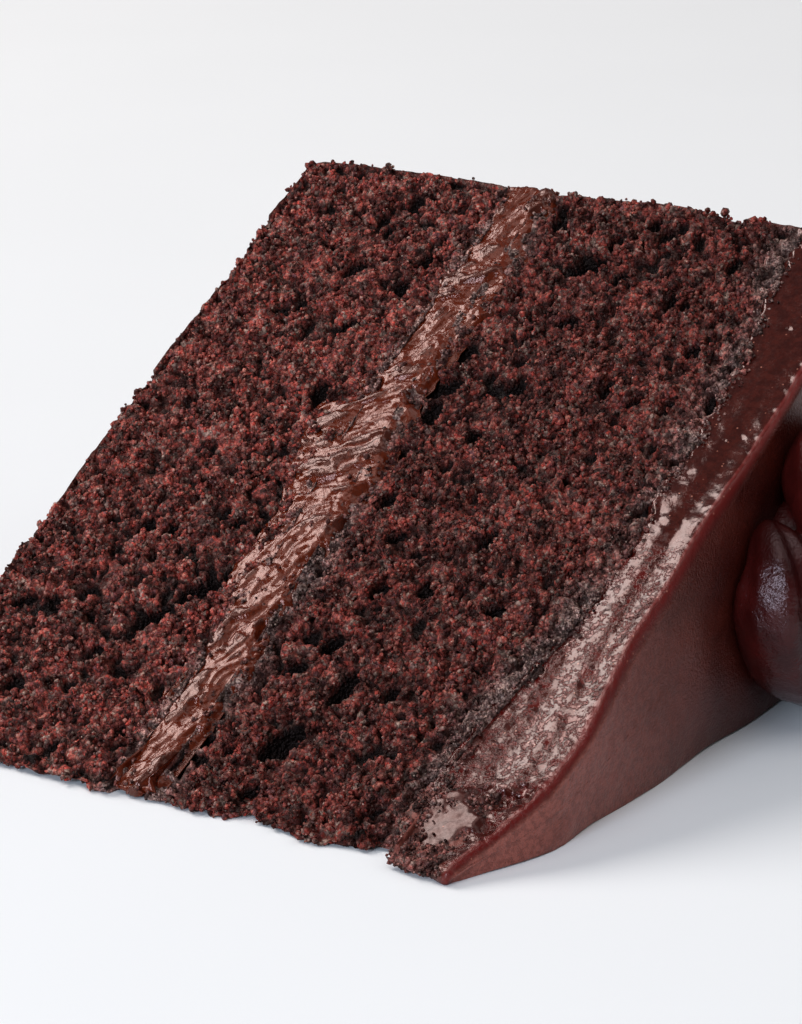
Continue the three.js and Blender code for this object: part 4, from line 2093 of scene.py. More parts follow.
    def build(self, place: CakePlace) -> bpy.types.Object:
        """Builds the swirl and gives it the small unevenness of piped icing.

        Args:
            place: where cake coordinates lie in the frame.

        Returns:
            The swirl's object.
        """
        mesh = self.one_skin(place)
        mesh.name = self.name
        count = len(mesh.vertices)
        flat = np.empty(count * 3, dtype=np.float32)
        mesh.vertices.foreach_get("co", flat)
        normal = np.empty(count * 3, dtype=np.float32)
        mesh.vertex_normals.foreach_get("vector", normal)
        flat = flat.reshape(-1, 3).astype(float)
        normal = normal.reshape(-1, 3).astype(float)
        push = self.unevenness(flat / MM)
        flat = on_plate(flat + normal * (push * MM)[:, None])
        mesh.vertices.foreach_set("co", flat.astype(np.float32).ravel())
        mesh.polygons.foreach_set("use_smooth", np.ones(len(mesh.polygons), dtype=bool))
        mesh.update()
        piece = bpy.data.objects.new(self.name, mesh)
        bpy.context.scene.collection.objects.link(piece)
        return piece


@dataclass
class CrumbGrains:
    """The small grains of crumb that stand out of a skin wherever it is open crumb.

    The fields called spans hold a lowest number and how far chance may go beyond it.
    """

    name: str
    seed: int
    count: int = 6900
    sizes: tuple[float, float, float] = (0.34, 0.78, 1.25)
    size_ease: float = 1.6
    large_share: float = 0.06
    damp_shrink: float = 0.4
    damp_rarity: float = 0.2
    shape_span: Span = (0.72, 0.56)
    bump_span: Span = (0.78, 0.44)
    rise_span: Span = (-0.06, 0.30)
    scatter: float = 0.10
    clump_size: float = 1.5
    clump_rise: Span = (-0.35, 0.35)
    least_clump: float = 0.08
    relief_rise: Span = (0.30, 0.62)
    most_area: float = 0.8
    middle_shade: float = 0.55
    shade_gain: float = 0.35

    @staticmethod
    def ball() -> tuple[Array, Array]:
        """A ball of 20 triangles.

        Returns:
            Its places and its triangles.
        """
        golden = (1.0 + math.sqrt(5.0)) / 2.0
        spots = np.array((
            (-1.0, golden, 0.0), (1.0, golden, 0.0), (-1.0, -golden, 0.0), (1.0, -golden, 0.0),
            (0.0, -1.0, golden), (0.0, 1.0, golden), (0.0, -1.0, -golden), (0.0, 1.0, -golden),
            (golden, 0.0, -1.0), (golden, 0.0, 1.0), (-golden, 0.0, -1.0), (-golden, 0.0, 1.0),
        ))
        triangles = np.array((
            (0, 11, 5), (0, 5, 1), (0, 1, 7), (0, 7, 10), (0, 10, 11), (1, 5, 9), (5, 11, 4),
            (11, 10, 2), (10, 7, 6), (7, 1, 8), (3, 9, 4), (3, 4, 2), (3, 2, 6), (3, 6, 8),
            (3, 8, 9), (4, 9, 5), (2, 4, 11), (6, 2, 10), (8, 6, 7), (9, 8, 1),
        ))
        return unit(spots), triangles

    def weights(self, skin: Shell, normals: Array) -> Array:
        """How likely a grain is to stand at each place of a skin.

        Args:
            skin: the sponge's finished skin.
            normals: the skin's outward directions.

        Returns:
            A weight for each place.
        """
        noise = Grain(self.seed)
        open_crumb = 1.0 - skin.values["crust"]
        hidden = (np.abs(normals[..., 0]) > 0.75) * (normals[..., 0] > 0.0)
        lying = normals[..., 2] < -0.5
        clumps = smooth_step(noise.rough(skin.rings, self.clump_size, 2), *self.clump_rise)
        clumps = self.least_clump + clumps
        raised = smooth_step(skin.values["relief"], *self.relief_rise)
        pressed = 1.0 - self.damp_rarity * skin.values["damp"]
        across = np.linalg.norm(np.roll(skin.rings, -1, axis=1) - skin.rings, axis=-1)
        area = np.clip(across, 0.0, self.most_area)
        return area * open_crumb * (1 - hidden) * (1 - lying) * clumps * raised * pressed

    def drawn_sizes(self, chance: np.random.Generator) -> Array:
        """Draws a size for each grain: mostly small ones, and a few large ones.

        Args:
            chance: where the random numbers come from.

        Returns:
            A size for each grain, in millimetres.
        """
        small, middling, large = self.sizes
        size = small + (middling - small) * chance.random(self.count) ** self.size_ease
        big = chance.random(self.count) < self.large_share
        return np.where(big, middling + (large - middling) * chance.random(self.count), size)

    def build(self, place: CakePlace, skin: Shell) -> bpy.types.Object:
        """Scatters the grains over a sponge.

        Args:
            place: where cake coordinates lie in the frame.
            skin: the sponge's finished skin.

        Returns:
            The object that holds all the grains.
        """
        chance = np.random.default_rng(self.seed)
        ball, triangles = self.ball()
        normals = skin.normals()
        weight = self.weights(skin, normals).ravel()
        weight = weight / weight.sum()
        chosen = chance.choice(len(weight), self.count, replace=False, p=weight)
        where = skin.rings.reshape(-1, 3)[chosen]
        out = normals.reshape(-1, 3)[chosen]
        damp = skin.values["damp"].ravel()[chosen]
        size = self.drawn_sizes(chance) * (1.0 - self.damp_shrink * damp)
        shape = self.shape_span[0] + self.shape_span[1] * chance.random((self.count, 3))
        spin = np.linalg.qr(chance.normal(size=(self.count, 3, 3)))[0]
        bumps = self.bump_span[0] + self.bump_span[1] * chance.random((self.count, len(ball)))
        blob = ball[None] * bumps[..., None] * shape[:, None] * (0.5 * size)[:, None, None]
        blob = np.einsum("nij,nkj->nki", spin, blob)
        rise = size * (self.rise_span[0] + self.rise_span[1] * chance.random(self.count))
        shift = self.scatter * chance.normal(size=(self.count, 3))
        every = on_plate((where + shift + out * rise[:, None])[:, None] + blob)
        start = (np.arange(self.count) * len(ball))[:, None, None]
        faces = (triangles[None] + start).reshape(-1, 3)
        none = np.zeros((0, 4), dtype=int)
        piece = make_object(self.name, place.to_frame(every.reshape(-1, 3)), none, faces)
        # Painted shade: each grain's relief falls where it faces back towards the skin, so the
        # finish darkens its underside
        proud = np.einsum("nki,ni->nk", blob, out)
        proud = self.middle_shade + self.shade_gain * proud / (0.5 * size)[:, None]
        set_values(piece, "relief", np.clip(proud, 0.0, 1.0).ravel())
        set_values(piece, "damp", np.repeat(damp, len(ball)))
        set_values(piece, "crust", np.zeros(len(every) * len(ball)))
        return piece


# ---------------------------------------------------------------- finishes


def tint(red: int, green: int, blue: int) -> Colour:
    """Turns a colour given as 0 to 255 on a screen into the shader's own scale.

    Args:
        red: the colour's red, from 0 to 255.
        green: its green.
        blue: its blue.

    Returns:
        The colour's red, green and blue.
    """
    parts = []
    for part in (red, green, blue):
        share = part / 255.0
        parts.append(share / 12.92 if share <= 0.04045 else ((share + 0.055) / 1.055) ** 2.4)
    return parts[0], parts[1], parts[2]


Socket = bpy.types.NodeSocket
Feed = Socket | float


@dataclass(frozen=True)
class CellNode:
    """Outputs of a field of cells: distance to the centre, and two numbers of the cell's own."""

    near: Socket
    pick: Socket
    other: Socket


class NodeBench:
    """A material's node tree, with a method for each kind of node that the finishes use."""

    def __init__(self, name: str) -> None:
        """Starts an empty material.

        Args:
            name: the material's name.
        """
        self.material = bpy.data.materials.new(name)
        self.material.use_nodes = True
        self.tree = self.material.node_tree
        self.tree.nodes.clear()
        spots = self.tree.nodes.new("ShaderNodeTexCoord").outputs["Object"]
        scale = self.tree.nodes.new("ShaderNodeVectorMath")
        scale.operation = "SCALE"
        scale.inputs["Scale"].default_value = 1.0 / MM
        self.tree.links.new(spots, scale.inputs[0])
        self.spots = scale.outputs[0]

    def feed(self, socket: Socket, value: Feed | Colour) -> None:
        """Links a socket, or sets its value.

        Args:
            socket: the input to fill.
            value: another node's output, a number or a colour.
        """
        if isinstance(value, bpy.types.NodeSocket):
            self.tree.links.new(value, socket)
        elif isinstance(value, tuple) and len(socket.default_value) == 4:
            socket.default_value = (*value, 1.0)
        else:
            socket.default_value = value

    def noise(
        self, size: float, detail: float = 2.0, rough: float = 0.5, spots: Socket | None = None
    ) -> Socket:
        """Soft noise whose broadest spots are about size millimetres wide.

        Args:
            size: the width of its broadest spots or cells, in millimetres.
            detail: how many finer layers it has.
            rough: how strong each finer layer is beside the one before.
            spots: the places that it is taken at, or None for the piece's own.

        Returns:
            A number from 0 to 1.
        """
        node = self.tree.nodes.new("ShaderNodeTexNoise")
        node.inputs["Scale"].default_value = 1.0 / size
        node.inputs["Detail"].default_value = detail
        node.inputs["Roughness"].default_value = rough
        self.tree.links.new(spots or self.spots, node.inputs["Vector"])
        return node.outputs["Fac"]

    def bent(self, size: float, reach: float) -> Socket:
        """Object places in millimetres, pushed about by noise of a given size and reach.

        Args:
            size: the width of the noise's spots, in millimetres.
            reach: how far places are pushed, in millimetres.

        Returns:
            The pushed places.
        """
        noise = self.tree.nodes.new("ShaderNodeTexNoise")
        noise.inputs["Scale"].default_value = 1.0 / size
        noise.inputs["Detail"].default_value = 1.0
        self.tree.links.new(self.spots, noise.inputs["Vector"])
        node = self.tree.nodes.new("ShaderNodeVectorMath")
        node.operation = "MULTIPLY_ADD"
        node.inputs[1].default_value = (2.0 * reach,) * 3
        self.tree.links.new(noise.outputs["Color"], node.inputs[0])
        self.tree.links.new(self.spots, node.inputs[2])
        return node.outputs[0]

    def cells(self, size: float, spots: Socket | None = None) -> CellNode:
        """Scattered cells about size millimetres wide.

        Args:
            size: the width of its broadest spots or cells, in millimetres.
            spots: the places that they are taken at, or None for the piece's own.

        Returns:
            What the cells give.
        """
        node = self.tree.nodes.new("ShaderNodeTexVoronoi")
        node.inputs["Scale"].default_value = 1.0 / size
        self.tree.links.new(spots or self.spots, node.inputs["Vector"])
        parts = self.tree.nodes.new("ShaderNodeSeparateColor")
        self.tree.links.new(node.outputs["Color"], parts.inputs[0])
        return CellNode(node.outputs["Distance"], parts.outputs[0], parts.outputs[1])

    def ramp(self, value: Socket, stops: tuple[tuple[float, Colour], ...]) -> Socket:
        """Gives a number from 0 to 1 a colour from a row of colours.

        Args:
            value: the number.
            stops: the colours, each with its place from 0 to 1.

        Returns:
            The colour.
        """
        node = self.tree.nodes.new("ShaderNodeValToRGB")
        row = node.color_ramp.elements
        while len(row) < len(stops):
            row.new(0.5)
        for element, (spot, colour) in zip(row, stops):
            element.position = spot
            element.color = (*colour, 1.0)
        self.tree.links.new(value, node.inputs[0])
        return node.outputs[0]

    def value_of(self, name: str) -> Socket:
        """A number that was stored on the mesh."""
        node = self.tree.nodes.new("ShaderNodeAttribute")
        node.attribute_name = name
        return node.outputs["Fac"]

    def ranged(
        self, value: Feed, low: float, high: float, to_low: float = 0.0, to_high: float = 1.0
    ) -> Socket:
        """Maps a number smoothly from one range to another and stays inside it.

        Args:
            value: the number.
            low: where the range starts.
            high: where it ends.
            to_low: what its start becomes.
            to_high: what its end becomes.

        Returns:
            The mapped number.
        """
        node = self.tree.nodes.new("ShaderNodeMapRange")
        node.interpolation_type = "SMOOTHSTEP"
        for index, number in enumerate((low, high, to_low, to_high)):
            node.inputs[index + 1].default_value = number
        self.feed(node.inputs[0], value)
        return node.outputs[0]

    def math(self, operation: str, first: Feed, second: Feed = 0.0) -> Socket:
        """Works out a sum, product or other result of two numbers.

        Args:
            operation: the math node's operation.
            first: what comes first.
            second: what comes second.

        Returns:
            The result.
        """
        node = self.tree.nodes.new("ShaderNodeMath")
        node.operation = operation
        self.feed(node.inputs[0], first)
        self.feed(node.inputs[1], second)
        return node.outputs[0]

    def times(self, first: Feed, second: Feed) -> Socket:
        """The product of two numbers."""
        return self.math("MULTIPLY", first, second)

    def plus(self, first: Feed, second: Feed) -> Socket:
        """The sum of two numbers."""
        return self.math("ADD", first, second)

    def rest(self, share: Feed) -> Socket:
        """What is left of 1 beside a share."""
        return self.math("SUBTRACT", 1.0, share)

    def painted_glints(self, size: float, picked: Span, reach: Span, most: float) -> Socket:
        """A few small round painted glints, each in a cell of its own.

        Args:
            size: the distance between cells.
            picked: the span of the cells' own numbers over which a speck appears.
            reach: the span of distances from a cell's centre over which it fades.
            most: how strong a speck is in its middle.

        Returns:
            A number from 0 to most.
        """
        cell = self.cells(size)
        return self.times(
            self.ranged(cell.pick, *picked), self.ranged(cell.near, *reach, most, 0.0)
        )

    def mix(self, share: Feed, first: Socket | Colour, second: Socket | Colour) -> Socket:
        """Mixes two colours.

        Args:
            share: how much of the second is mixed in.
            first: what comes first.
            second: what comes second.

        Returns:
            The mixed colour.
        """
        node = self.tree.nodes.new("ShaderNodeMix")
        node.data_type = "RGBA"
        self.feed(node.inputs[0], share)
        self.feed(node.inputs[6], first)
        self.feed(node.inputs[7], second)
        return node.outputs[2]

    def lit(self, colour: Socket, by: Socket) -> Socket:
        """Makes a colour lighter or darker by a number.

        Args:
            colour: the colour.
            by: the number.

        Returns:
            The lit colour.
        """
        node = self.tree.nodes.new("ShaderNodeVectorMath")
        node.operation = "SCALE"
        self.tree.links.new(colour, node.inputs[0])
        self.tree.links.new(by, node.inputs["Scale"])
        return node.outputs[0]

    def bump(self, height: Feed, depth: float, below: Socket | None = None) -> Socket:
        """Turns a height into a tilt of the surface, depth millimetres from low to high.

        Args:
            height: the height, from 0 to 1.
            depth: how deep it is from low to high, in millimetres.
            below: the tilt that this one is added to, or None.

        Returns:
            The tilted direction.
        """
        node = self.tree.nodes.new("ShaderNodeBump")
        node.inputs["Strength"].default_value = 1.0
        node.inputs["Distance"].default_value = depth * MM
        self.feed(node.inputs["Height"], height)
        if below is not None:
            self.tree.links.new(below, node.inputs["Normal"])
        return node.outputs["Normal"]

    def finish(
        self, colour: Socket, rough: Feed, shine: float, gloss: Colour = WHITE,
        normal: Socket | None = None,
    ) -> bpy.types.Material:
        """Adds the surface shader.

        Args:
            colour: the surface's colour.
            rough: how rough its gloss is.
            shine: how strong its gloss is.
            gloss: the colour of its gloss.
            normal: which way the surface faces, or None for as it is.

        Returns:
            The finished material.
        """
        shader = self.tree.nodes.new("ShaderNodeBsdfPrincipled")
        self.feed(shader.inputs["Base Color"], colour)
        self.feed(shader.inputs["Roughness"], rough)
        self.feed(shader.inputs["Specular IOR Level"], shine)
        self.feed(shader.inputs["Specular Tint"], gloss)
        if normal is not None:
            self.tree.links.new(normal, shader.inputs["Normal"])
        output = self.tree.nodes.new("ShaderNodeOutputMaterial")
        self.tree.links.new(shader.outputs[0], output.inputs["Surface"])
        return self.material


@dataclass(frozen=True)
class CrumbFinish:
    """Moist cocoa crumb: grains of many browns, pale damp and baked parts, painted shade in its
    hollows and clefts, and painted glints.
    """

    name: str
    lightness: float = 1.10
    # Painted shade for the crumb's hollows and clefts, and for its deepest hollows
    painted_shade: Colour = tint(34, 8, 5)
    deepest_painted_shade: Colour = tint(13, 6, 5)
    shine: float = 0.17
    gloss: Colour = (1.0, 0.74, 0.70)
    hues: tuple[tuple[float, Colour], ...] = (
        (0.00, tint(106, 68, 68)),
        (0.20, tint(136, 56, 47)),
        (0.40, tint(136, 70, 60)),
        (0.56, tint(148, 50, 41)),
        (0.72, tint(148, 88, 74)),
        (0.86, tint(126, 92, 84)),
        (1.00, tint(156, 126, 110)),
    )
    painted_glint: Colour = tint(214, 180, 162)
    damp: Colour = tint(190, 160, 148)
    damp_dark: Colour = tint(84, 60, 58)
    crust: Colour = tint(84, 34, 26)
    # Darker crust for its mottled patches, also used as painted shade between the crust's grains
    crust_dark_and_shade: Colour = tint(46, 19, 16)
    grain_size: float = 0.46

    def make(self) -> bpy.types.Material:
        """Builds the material.

        Returns:
            The material.
        """
        bench = NodeBench(self.name)
        relief = bench.value_of("relief")
        damp = bench.value_of("damp")
        crust = bench.value_of("crust")
        spots = bench.bent(0.5, 0.22)
        grain = bench.cells(self.grain_size, spots)
        lump = bench.cells(self.grain_size * 2.1, spots)
        fine = bench.noise(0.26, 3.0, 0.65)
        damp_colour = bench.mix(bench.ranged(fine, 0.38, 0.62), self.damp_dark, self.damp)
        colour = self.grain_hue(bench, grain)
        colour = bench.mix(bench.times(damp, 0.85), colour, damp_colour)
        colour = self.grain_light(bench, grain, lump, colour)
        patches = bench.ranged(bench.noise(3.2, 5.0, 0.70), 0.38, 0.62)
        baked = bench.mix(patches, self.crust_dark_and_shade, self.crust)
        # Painted shade: the crust darker towards the edges of its grains
        baked = bench.mix(bench.ranged(grain.near, 0.55, 0.90, 0.0, 0.6), baked, self.crust_dark_and_shade)
        colour = bench.mix(crust, colour, baked)
        # Painted shade in the clefts between grains and lumps, weaker on the crust
        grain_edge = bench.ranged(grain.near, 0.40, 0.80)
        cleft = bench.math("MAXIMUM", grain_edge, bench.ranged(lump.near, 0.55, 0.85))
        cleft = bench.times(cleft, bench.ranged(crust, 0.0, 1.0, 0.75, 0.1))
        colour = bench.mix(cleft, colour, self.painted_shade)
        # Painted shade: darker where the relief lies low, darkest in the deepest hollows
        colour = bench.mix(bench.ranged(relief, 0.04, 0.52, 0.96, 0.0), colour, self.painted_shade)
        colour = bench.mix(bench.ranged(relief, 0.0, 0.16, 1.0, 0.0), colour, self.deepest_painted_shade)
        rough = bench.ranged(fine, 0.35, 0.65, 0.30, 0.75)
        normal = bench.bump(bench.ranged(grain.near, 0.0, 0.8, 1.0, 0.0), 0.26)
        normal = bench.bump(fine, 0.16, normal)
        return bench.finish(colour, rough, self.shine, self.gloss, normal)

    def grain_hue(self, bench: NodeBench, grain: CellNode) -> Socket:
        """Gives each grain a brown of its own, drifting from place to place."""
        drift = bench.times(bench.noise(1.7, 2.0), 0.75)
        hue = bench.plus(bench.times(grain.other, 0.62), drift)
        return bench.ramp(bench.ranged(hue, 0.22, 1.16), self.hues)

    def grain_light(
        self, bench: NodeBench, grain: CellNode, lump: CellNode, colour: Socket
    ) -> Socket:
        """Makes each grain lighter or darker and adds a few painted glints.

        Args:
            bench: the material's node tree.
            grain: the field of grains.
            lump: the field of the larger lumps.
            colour: the grains' own colour.

        Returns:
            The colour.
        """
        light = bench.plus(bench.times(grain.pick, 0.34), bench.times(lump.pick, 0.42))
        light = bench.plus(light, bench.times(bench.noise(3.0, 5.0, 0.6), 1.50))
        light = bench.ranged(light, 0.75, 1.56, 0.12 * self.lightness, 2.1 * self.lightness)
        colour = bench.lit(colour, light)
        # Painted glints: a few small pale spots on the grains
        painted_glints = bench.painted_glints(0.40, (0.90, 0.93), (0.12, 0.36), 0.8)
        return bench.mix(painted_glints, colour, self.painted_glint)


@dataclass(frozen=True)
class FillingFinish:
    """Filling cream dragged by the knife: glossy flats that pale the red-brown below them."""

    name: str = "filling_cream_finish"
    deep: Colour = tint(88, 28, 9)
    light: Colour = tint(66, 25, 15)
    fleck: Colour = tint(40, 10, 6)
    shine: float = 0.62
    gloss: Colour = (1.0, 0.59, 0.51)

    def make(self) -> bpy.types.Material:
        """Builds the material.

        Returns:
            The material.
        """
        bench = NodeBench(self.name)
        dragged = bench.noise(0.9, 4.0, 0.6)
        fine = bench.noise(0.28, 3.0, 0.65)
        pale = bench.times(bench.value_of("pale"), bench.ranged(dragged, 0.3, 0.6, 0.4, 1.1))
        flat = bench.ranged(pale, 0.35, 0.65)
        colour = bench.mix(flat, self.deep, self.light)
        grit = bench.noise(0.42, 4.0, 0.75)
        colour = bench.mix(bench.ranged(grit, 0.54, 0.66, 0.0, 0.85), colour, self.fleck)
        rough = bench.ranged(grit, 0.44, 0.60, 0.08, 0.20)
        normal = bench.bump(dragged, 0.11)
        normal = bench.bump(fine, 0.035, normal)
        return bench.finish(colour, rough, self.shine, self.gloss, normal)


@dataclass(frozen=True)
class SpreadIcingFinish:
    """Chocolate icing: satiny on its top, glossier and redder where the knife has cut it."""

    name: str = "spread_icing"
    deep: Colour = tint(58, 15, 10)
    light: Colour = tint(80, 26, 18)
    # Colour of the painted sheen of the floor's reflection on the top
    painted_sheen: Colour = tint(156, 85, 73)
    cut_deep: Colour = tint(44, 9, 6)
    cut_light: Colour = tint(62, 19, 13)
    # Painted light: the saturated red of the ridge where it catches the light
    ridge: Colour = tint(96, 9, 7)
    groove: Colour = tint(80, 9, 6)
    crumb: Colour = tint(120, 62, 52)
    crumb_dark: Colour = tint(36, 12, 10)
    # Colour of the painted glints on the cut edge
    painted_cut_glint: Colour = tint(176, 112, 92)
    shine: float = 0.52
    gloss: Colour = (1.0, 0.66, 0.60)

    def make(self) -> bpy.types.Material:
        """Builds the material.

        Returns:
            The material.
        """
        bench = NodeBench(self.name)
        cut = bench.value_of("cut")
        beads = bench.value_of("beads")
        crumbly = bench.value_of("crumbly")
        clouds = bench.ranged(bench.noise(7.0, 3.0), 0.3, 0.7)
        fine = bench.noise(0.34, 3.0, 0.6)
        grit = bench.noise(0.16, 2.0, 0.6)
        colour = bench.mix(clouds, self.deep, self.light)
        grains = bench.ranged(bench.noise(0.8, 3.0, 0.7), 0.40, 0.60, 0.55, 1.0)
        # Painted sheen: the top lighter towards the slice's point, broken into grains
        painted_sheen = bench.times(bench.value_of("painted_sheen"), grains)
        colour = bench.mix(painted_sheen, colour, self.painted_sheen)
        mottle = bench.ranged(bench.noise(1.3, 4.0, 0.65), 0.34, 0.66)
        colour = bench.mix(cut, colour, bench.mix(mottle, self.cut_deep, self.cut_light))
        veins = bench.noise(0.95, 4.0, 0.72)
        groove = bench.times(bench.ranged(veins, 0.49, 0.56), beads)
        colour = bench.mix(bench.times(groove, 0.85), colour, self.groove)
        # Painted light along the ridge, where it catches the light
        colour = bench.mix(bench.value_of("ridge"), colour, self.ridge)
        granule = bench.cells(0.5)
        crumb = bench.mix(bench.ranged(granule.pick, 0.1, 0.9), self.crumb_dark, self.crumb)
        colour = bench.mix(crumbly, colour, crumb)
        # Painted glints: a few small pale spots on the cut edge
        painted_glints = bench.painted_glints(0.55, (0.93, 0.95), (0.10, 0.26), 0.75)
        colour = bench.mix(bench.times(painted_glints, cut), colour, self.painted_cut_glint)
        rough = bench.ranged(bench.noise(2.2, 4.0), 0.35, 0.65, 0.29, 0.42)
        glossy = bench.ranged(fine, 0.35, 0.65, 0.10, 0.18)
        rough = bench.plus(bench.times(rough, bench.rest(cut)), bench.times(glossy, cut))
        rough = bench.plus(rough, bench.times(crumbly, 0.42))
        rough = bench.plus(rough, bench.times(bench.value_of("patch"), 0.20))
        rough = bench.plus(rough, bench.times(bench.value_of("ridge"), 0.3))
        normal = bench.bump(bench.noise(3.2, 3.0), 0.12)
        creases = bench.times(bench.ranged(veins, 0.46, 0.60), beads)
        normal = bench.bump(creases, -0.045, normal)
        lively = bench.plus(bench.times(beads, 0.3), 0.25)
        lively = bench.plus(lively, bench.times(bench.rest(cut), 5.0))
        normal = bench.bump(bench.times(fine, lively), 0.03, normal)
        normal = bench.bump(bench.times(grit, lively), 0.006, normal)
        return bench.finish(colour, rough, self.shine, self.gloss, normal)


@dataclass(frozen=True)
class PipedIcingFinish:
    """Dark piped icing, glossy, with a fine grain that breaks its highlights into glints."""

    name: str = "piped_icing"
    deep: Colour = tint(42, 7, 6)
    light: Colour = tint(60, 14, 12)
    shine: float = 0.40
    gloss: Colour = (1.0, 0.76, 0.78)

    def make(self) -> bpy.types.Material:
        """Builds the material.

        Returns:
            The material.
        """
        bench = NodeBench(self.name)
        clouds = bench.ranged(bench.noise(5.0, 3.0), 0.3, 0.7)
        fine = bench.noise(0.42, 3.0, 0.6)
        grit = bench.noise(0.20, 2.0, 0.6)
        colour = bench.mix(clouds, self.deep, self.light)
        rough = bench.ranged(bench.noise(1.2, 3.0), 0.35, 0.65, 0.11, 0.19)
        normal = bench.bump(bench.noise(2.6, 3.0), 0.06)
        normal = bench.bump(fine, 0.11, normal)
        normal = bench.bump(grit, 0.034, normal)
        return bench.finish(colour, rough, self.shine, self.gloss, normal)


@dataclass(frozen=True)
class FloorFinish:
    """A plain pale floor with a soft, faint gloss."""

    name: str = "pale_floor"
    colour: Colour = (0.885, 0.875, 0.875)
    darker: float = 0.985
    rough: float = 0.45
    shine: float = 0.35

    def make(self) -> bpy.types.Material:
        """Builds the material.

        Returns:
            The material.
        """
        bench = NodeBench(self.name)
        clouds = bench.ranged(bench.noise(90.0, 2.0), 0.3, 0.7)
        dark = tuple(self.darker * part for part in self.colour)
        return bench.finish(bench.mix(clouds, self.colour, dark), self.rough, self.shine)


# ---------------------------------------------------------------- studio


@dataclass(frozen=True)
class SoftLight:
    """A soft box of light that faces the slice."""

    name: str
    towards: tuple[float, float, float]
    distance: float
    width: float
    height: float
    brightness: float
    colour: Colour

    def build(self, target: Vector) -> bpy.types.Object:
        """Hangs the light.

        Args:
            target: what the light faces.

        Returns:
            The light's object.
        """
        lamp = bpy.data.lights.new(self.name, "AREA")
        lamp.shape = "ELLIPSE"
        lamp.size = self.width
        lamp.size_y = self.height
        lamp.color = self.colour
        lamp.energy = self.brightness * math.pi * math.pi * self.width * self.height / 4.0
        light = bpy.data.objects.new(self.name, lamp)
        away = Vector(self.towards).normalized()
        light.location = target + away * self.distance
        light.rotation_euler = away.to_track_quat("Z", "Y").to_euler()
        bpy.context.scene.collection.objects.link(light)
        return light


@dataclass
class Studio:
    """The floor, the lights and the camera."""

    camera_spot: tuple[float, float, float] = (260.0, -270.15, 151.24)
    azimuth: float = math.radians(34.637)
    elevation: float = math.radians(18.767)
    roll: float = math.radians(-0.936)
    lens: float = 120.71
    sensor: float = 36.0
    lit_spot: tuple[float, float, float] = (45.0, 45.0, 25.0)
    floor_size: float = 6.0
    sky: Colour = (0.95, 0.97, 1.0)
    sky_strength: float = 0.15
    lights: tuple[SoftLight, ...] = (
        SoftLight("key_light", (-0.750, -0.006, 0.662), 1.5, 0.96, 0.96, 8.0, (1.0, 0.975, 0.95)),
        SoftLight("window_light", (-0.02, -0.94, 0.34), 1.5, 0.46, 0.60, 23.0, (0.68, 0.82, 1.0)),
        SoftLight("over_light", (0.02, -0.22, 0.97), 1.5, 1.10, 1.10, 1.7, WHITE),
        SoftLight("back_light", (0.42, 0.52, 0.74), 1.6, 1.40, 1.40, 0.9, WHITE),
    )

    def build(self, place: CakePlace) -> None:
        """Sets the studio up.

        Args:
            place: where cake coordinates lie in the frame.
        """
        scene = bpy.context.scene
        half = self.floor_size / 2.0
        corners = np.array([(-half, -half, 0), (half, -half, 0), (half, half, 0), (-half, half, 0)])
        floor = make_object("floor", corners, np.array([[0, 1, 2, 3]]), np.zeros((0, 3), int))
        floor.data.materials.append(FloorFinish().make())
        world = bpy.data.worlds.new("soft_sky")
        world.use_nodes = True
        sky = world.node_tree.nodes["Background"]
        sky.inputs["Color"].default_value = (*self.sky, 1.0)
        sky.inputs["Strength"].default_value = self.sky_strength
        scene.world = world
        scene.view_settings.view_transform = "Standard"
        scene.view_settings.look = "None"
        target = Vector(place.to_frame(np.array(self.lit_spot)))
        for light in self.lights:
            light.build(target)
        self.hang_camera(place)

    def hang_camera(self, place: CakePlace) -> None:
        """Places the camera.

        Args:
            place: where cake coordinates lie in the frame.
        """
        camera = bpy.data.cameras.new("camera")
        camera.sensor_width = self.sensor
        camera.lens = self.lens
        camera.clip_start = 0.01
        camera.dof.use_dof = False
        stand = bpy.data.objects.new("camera", camera)
        flat = math.cos(self.elevation)
        back = Vector((
            math.sin(self.azimuth) * flat, -math.cos(self.azimuth) * flat, math.sin(self.elevation)
        ))
        level = Vector((math.cos(self.azimuth), math.sin(self.azimuth), 0.0))
        upright = back.cross(level)
        right = level * math.cos(self.roll) + upright * math.sin(self.roll)
        up = upright * math.cos(self.roll) - level * math.sin(self.roll)
        turn = Matrix((right, up, back)).transposed().to_4x4()
        spot = Vector(place.to_frame(np.array(self.camera_spot)))
        stand.matrix_world = Matrix.Translation(spot) @ turn
        bpy.context.scene.collection.objects.link(stand)
        bpy.context.scene.camera = stand


# ---------------------------------------------------------------- the slice


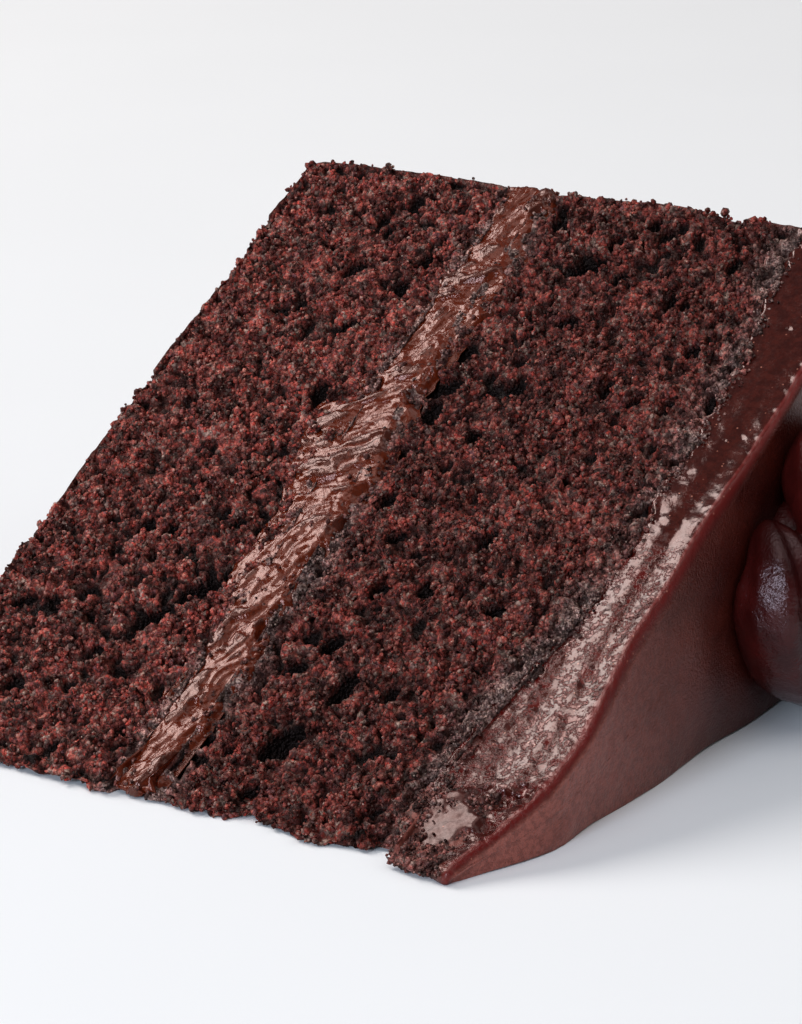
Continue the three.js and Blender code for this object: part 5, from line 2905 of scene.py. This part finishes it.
def dress(
    piece: bpy.types.Object, finish: bpy.types.Material, node: str | None
) -> None:
    """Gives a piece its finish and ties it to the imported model.

    Args:
        piece: the mesh object.
        finish: its material.
        node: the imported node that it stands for, or None.
    """
    piece.data.materials.clear()
    piece.data.materials.append(finish)
    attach(piece, "root")
    if node is not None:
        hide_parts(node)
    mesh = piece.data
    LOG.info("%s: %d places, %d faces", piece.name, len(mesh.vertices), len(mesh.polygons))


def main() -> None:
    """Builds the slice piece by piece, then the studio round it."""
    logging.basicConfig(level=logging.INFO, format="%(name)s %(asctime)s %(message)s")
    place = CakePlace.from_frame()
    lower = SpongeLayer(
        name="lower_sponge_crumb",
        thickness=33.0,
        low_edge=2.0,
        high_edge=3.2,
        base_shown=True,
        spacing=Spacing(face=0.27, rim=0.5, lying=2.2),
        row_step=0.275,
        rounding=0.8,
    )
    upper = SpongeLayer(
        name="upper_sponge_crumb",
        thickness=36.0,
        low_edge=3.2,
        high_edge=1.2,
        base_shown=False,
        spacing=Spacing(face=0.26, rim=0.5, lying=2.2),
        row_step=0.255,
        rounding=0.5,
        crumb=CrumbRelief(seed=13),
        crust=CrustRelief(seed=31),
    )
    crumb = CrumbFinish("lower_sponge_crumb").make()
    # The same crumb finish made darker, for the upper sponge and the loose grains
    darker_crumb = CrumbFinish("upper_sponge_crumb", lightness=0.765).make()
    dress(lower.build(place), crumb, "sponge_lower")
    dress(upper.build(place), darker_crumb, "sponge_upper")
    filling = FillingLayer()
    dress(filling.build(place), FillingFinish().make(), "filling")
    icing = IcingTop()
    dress(icing.build(place), SpreadIcingFinish().make(), "icing_top")
    dress(PipedSwirl().build(place), PipedIcingFinish().make(), "piped_swirl")
    filling_grains = CrumbGrains("filling_crumbs", 6, count=1100).build(place, filling.skin)
    icing_grains = CrumbGrains("icing_crumbs", 9, count=1700).build(place, icing.skin)
    lower_grains = CrumbGrains("lower_sponge_grains", 7).build(place, lower.skin)
    upper_grains = CrumbGrains("upper_sponge_grains", 8).build(place, upper.skin)
    dress(filling_grains, darker_crumb, None)
    dress(icing_grains, darker_crumb, None)
    dress(lower_grains, crumb, None)
    dress(upper_grains, darker_crumb, None)
    Studio().build(place)


if __name__ == "__main__":
    main()
